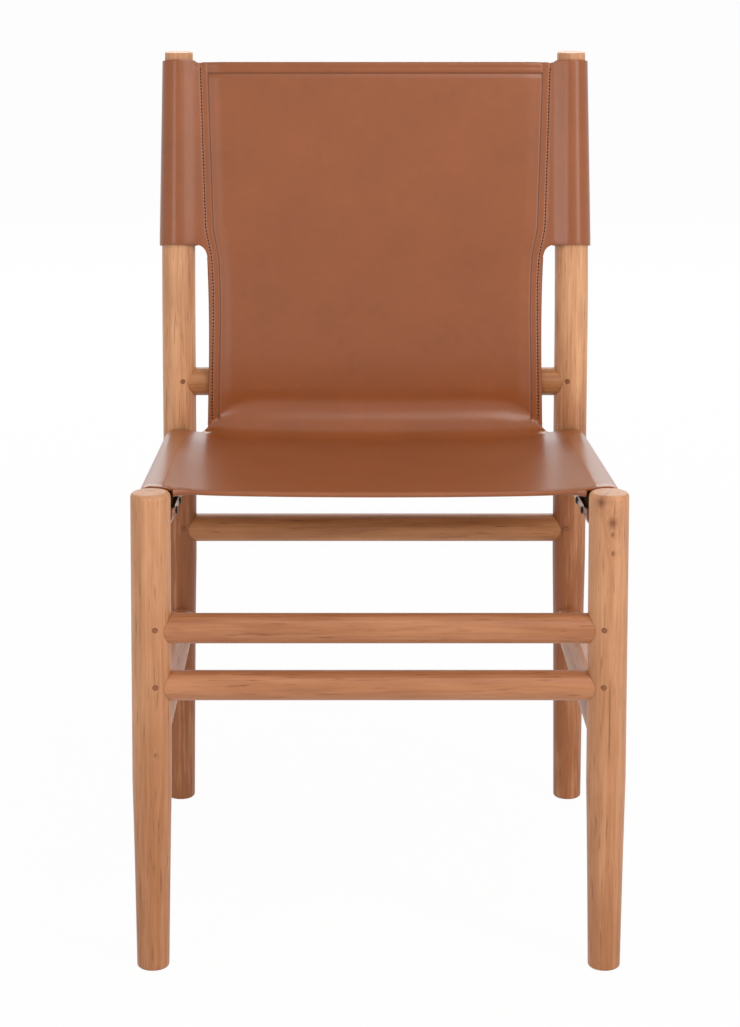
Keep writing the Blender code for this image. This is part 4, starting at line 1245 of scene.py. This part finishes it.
def turned_wood(name, along, centre, seed, tones, fade=None, knots=(), streaks=()):
    """Oiled wood of one bar, with painted shade that darkens it from the first to the second length of its
    fade.

    Each pattern has its scales across and along the bar, in cycles per metre.
    """
    finish = Finish(name)
    u, v, w = bar_axes(finish, along, centre)
    drift = finish.noise(finish.point(u * 22 + seed, v * 22, w * 4.5), 1, 3, 0.55)
    layers = u * 0.8 + v * 0.6 + drift * 0.022
    if knots:
        swirl, spots = knot_marks(finish, (u, v, w), knots, streaks)
        layers = layers + swirl * KNOT_PULL
    bands = finish.noise(finish.point(layers * BANDS[0] + seed, w * BANDS[1], seed), 1, 4, 0.6)
    patches = finish.noise(finish.point(u * PATCHES[0], v * PATCHES[0] + seed, w * PATCHES[1]), 1, 3, 0.55)
    fibres = finish.noise(finish.point(u * FIBRES[0] + seed, v * FIBRES[0], w * FIBRES[1]), 1, 3, 0.6)
    lines = finish.noise(finish.point(u * LINES[0], v * LINES[0] + seed, w * LINES[1]), 1, 2, 0.5)
    fine_lines = finish.ramp(lines, 0.61, 0.77)
    banding = finish.ramp(bands, 0.33, 0.67)
    depth = banding * 0.6 + finish.ramp(patches, 0.33, 0.67) * 0.35 + (fibres - 0.5) * 0.7 - 0.09
    # Painted shade: the wood darkens towards the floor on the legs and below the seat on the posts, where
    # less light reaches.
    if fade:
        depth = depth + finish.ramp(w, *fade) * 0.6
    colour = finish.blend(depth.clamp(), *tones)
    colour = finish.blend(fine_lines * 0.6, colour, LINE_BROWN)
    if knots:
        smudge = finish.noise(finish.point(layers * 500, w * 90, 0), 1, 3, 0.6)
        smudge = finish.ramp(smudge, 0.35, 0.6) * (swirl * 0.4).clamp()
        colour = finish.blend(smudge, colour, SMUDGE_BROWN)
        colour = finish.blend(spots.clamp() * 0.8, colour, KNOT_BROWN)
    rough = 0.46 - banding * 0.06 + fine_lines * 0.1
    grooves = fibres * 0.6 - fine_lines * 0.4
    finish.dress(Base_Color=colour, Roughness=rough, Normal=finish.bump(grooves, 0.1, 0.0003),
                 Specular_IOR_Level=0.4)
    return finish.material


def lay_finish(node, material):
    """Give a node of the frame its finish."""
    slots = bpy.data.objects[node].material_slots
    for slot in slots:
        slot.material = material
    return len(slots)


print("bands of the grain", BANDS[0], "to a metre")

# %% Legs and posts
LEG_TONES = srgb("D59C72"), srgb("AC7148")
POST_TONES = srgb("E4AB7E"), srgb("9C5E36")
# Painted shade: the legs darken towards the floor, and the posts below the seat.
LEG_PAINTED_SHADE, POST_PAINTED_SHADE = (0.36, 0.02), (0.46, 0.34)

# Knots: distance round the leg, height and size. Streaks: distance round, top, low end and width
LEFT_KNOTS = [(0.004, 0.21, 0.0016)]
RIGHT_KNOTS = [
    (0.0015, 0.4260, 0.0042), (0.0017, 0.4155, 0.0020), (0.0022, 0.3981, 0.0020), (-0.0085, 0.4440, 0.0045),
]
RIGHT_STREAKS = [(0.0010, 0.290, 0.200, 0.0008)]

bars = 0
for node, side, seed, knots, streaks in (
    ("front_leg_left", -1, 3.1, LEFT_KNOTS, ()), ("front_leg_right", 1, 11.7, RIGHT_KNOTS, RIGHT_STREAKS),
):
    wood = turned_wood(node + "_wood", "Z", (side, True), seed, LEG_TONES, LEG_PAINTED_SHADE, knots, streaks)
    bars += lay_finish(node, wood)
for node, side, seed in (("rear_post_left", -1, 19.4), ("rear_post_right", 1, 27.9)):
    wood = turned_wood(node + "_wood", "Z", (side, False), seed, POST_TONES, POST_PAINTED_SHADE)
    bars += lay_finish(node, wood)
print("legs and posts finished", bars)

# %% Stretchers and back rail
STRETCHER_TONES = srgb("BF825A"), srgb("985C37")
REAR_TONES = srgb("BE8355"), srgb("925A31")
UPPER_HEIGHT, LOWER_HEIGHT, REAR_HEIGHT, BACK_RAIL_HEIGHT = 0.324, 0.2705, 0.2985, 0.4555
SIDE_FRONT_HEIGHT, SIDE_REAR_HEIGHT = 0.2255, 0.1990
SIDE_MIDDLE_X, SIDE_MIDDLE_HEIGHT = 0.205, 0.2095

bars = 0
for node, height, y, tones, seed in (
    ("front_stretcher_upper", UPPER_HEIGHT, FRONT_AXIS_Y, STRETCHER_TONES, 35.2),
    ("front_stretcher_lower", LOWER_HEIGHT, FRONT_AXIS_Y, STRETCHER_TONES, 41.8),
    ("rear_stretcher", REAR_HEIGHT, REAR_AXIS_Y, REAR_TONES, 52.6),
    ("back_rail", BACK_RAIL_HEIGHT, REAR_AXIS_Y + post_lean(BACK_RAIL_HEIGHT)[0], REAR_TONES, 63.3),
):
    bars += lay_finish(node, turned_wood(node + "_wood", "X", (y, height), seed, tones))
fall = math.atan((SIDE_FRONT_HEIGHT - SIDE_REAR_HEIGHT) / (REAR_AXIS_Y - FRONT_AXIS_Y))
for node, side, seed in (("side_stretcher_left", -1, 71.5), ("side_stretcher_right", 1, 83.9)):
    centre = (side * SIDE_MIDDLE_X, SIDE_MIDDLE_HEIGHT, fall)
    bars += lay_finish(node, turned_wood(node + "_wood", "Y", centre, seed, STRETCHER_TONES))
print("stretchers and back rail finished", bars)

# %% [markdown]
# ## Hidden rails, pins and tacks
#
# The seat rails are all but hidden in the leather. What shows between the seat and the tacked
# edge is given a dark wood colour that paints the deep shade there. The pins that lock the
# tenons end flush with the legs and show end grain, darker than the legs' sides. The tacks are
# blackened steel with domed heads, rubbed a little paler.

# %% Small finishes
def shade_dark_rail():
    """Wood darkened all over to paint the deep shade under the seat, quite dull."""
    finish = Finish("seat_rail_painted_shade")
    x, y, z = finish.axes(finish.place())
    fibres = finish.noise(finish.point(x * 500, y * 14, z * 500), 1, 3, 0.6)
    # Painted shade: a near-black brown stands for the deep shade between seat and tacked edge.
    colour = finish.blend(fibres, srgb("3A2417"), srgb("543422"))
    finish.dress(Base_Color=colour, Roughness=0.9, Normal=finish.bump(fibres, 0.2, 0.0004),
                 Specular_IOR_Level=0)
    return finish.material


def pin_end_grain():
    """Speckled end of a pin."""
    finish = Finish("pin_end_grain")
    place = finish.place()
    specks = finish.noise(place, 1400, 3, 0.7)
    tone = finish.noise(place, 60, 1)
    colour = finish.blend(finish.ramp(specks, 0.3, 0.7) * 0.6 + tone * 0.4, srgb("A5683F"), srgb("6B3A1C"))
    finish.dress(Base_Color=colour, Roughness=0.6, Normal=finish.bump(specks, 0.3, 0.0003))
    return finish.material


def blackened_steel():
    """Tack head, blackened and rubbed."""
    finish = Finish("blackened_steel")
    place = finish.place()
    rubs = finish.noise(place, 700, 3, 0.6)
    colour = finish.blend(finish.ramp(rubs, 0.5, 0.8), srgb("1C1816"), srgb("3B3430"))
    rough = 0.32 + rubs * 0.2
    finish.dress(Base_Color=colour, Roughness=rough, Metallic=0.9, Normal=finish.bump(rubs, 0.1, 0.0002))
    return finish.material


SMALL_FINISHES = {"seat_rail": shade_dark_rail(), "pin_": pin_end_grain(), "tack_": blackened_steel()}
small = 0
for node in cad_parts:
    for start, material in SMALL_FINISHES.items():
        if node.startswith(start):
            small += lay_finish(node, material)
print("small pieces finished", small)

# %% [markdown]
# ## The leather on the chair's body
#
# The leather replaces the plain solid of the frame, the stitches go with it, and everything
# rides on the chair's one body.

for piece in (SLING, SEAMS):
    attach(piece, "root")
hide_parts("leather_sling")
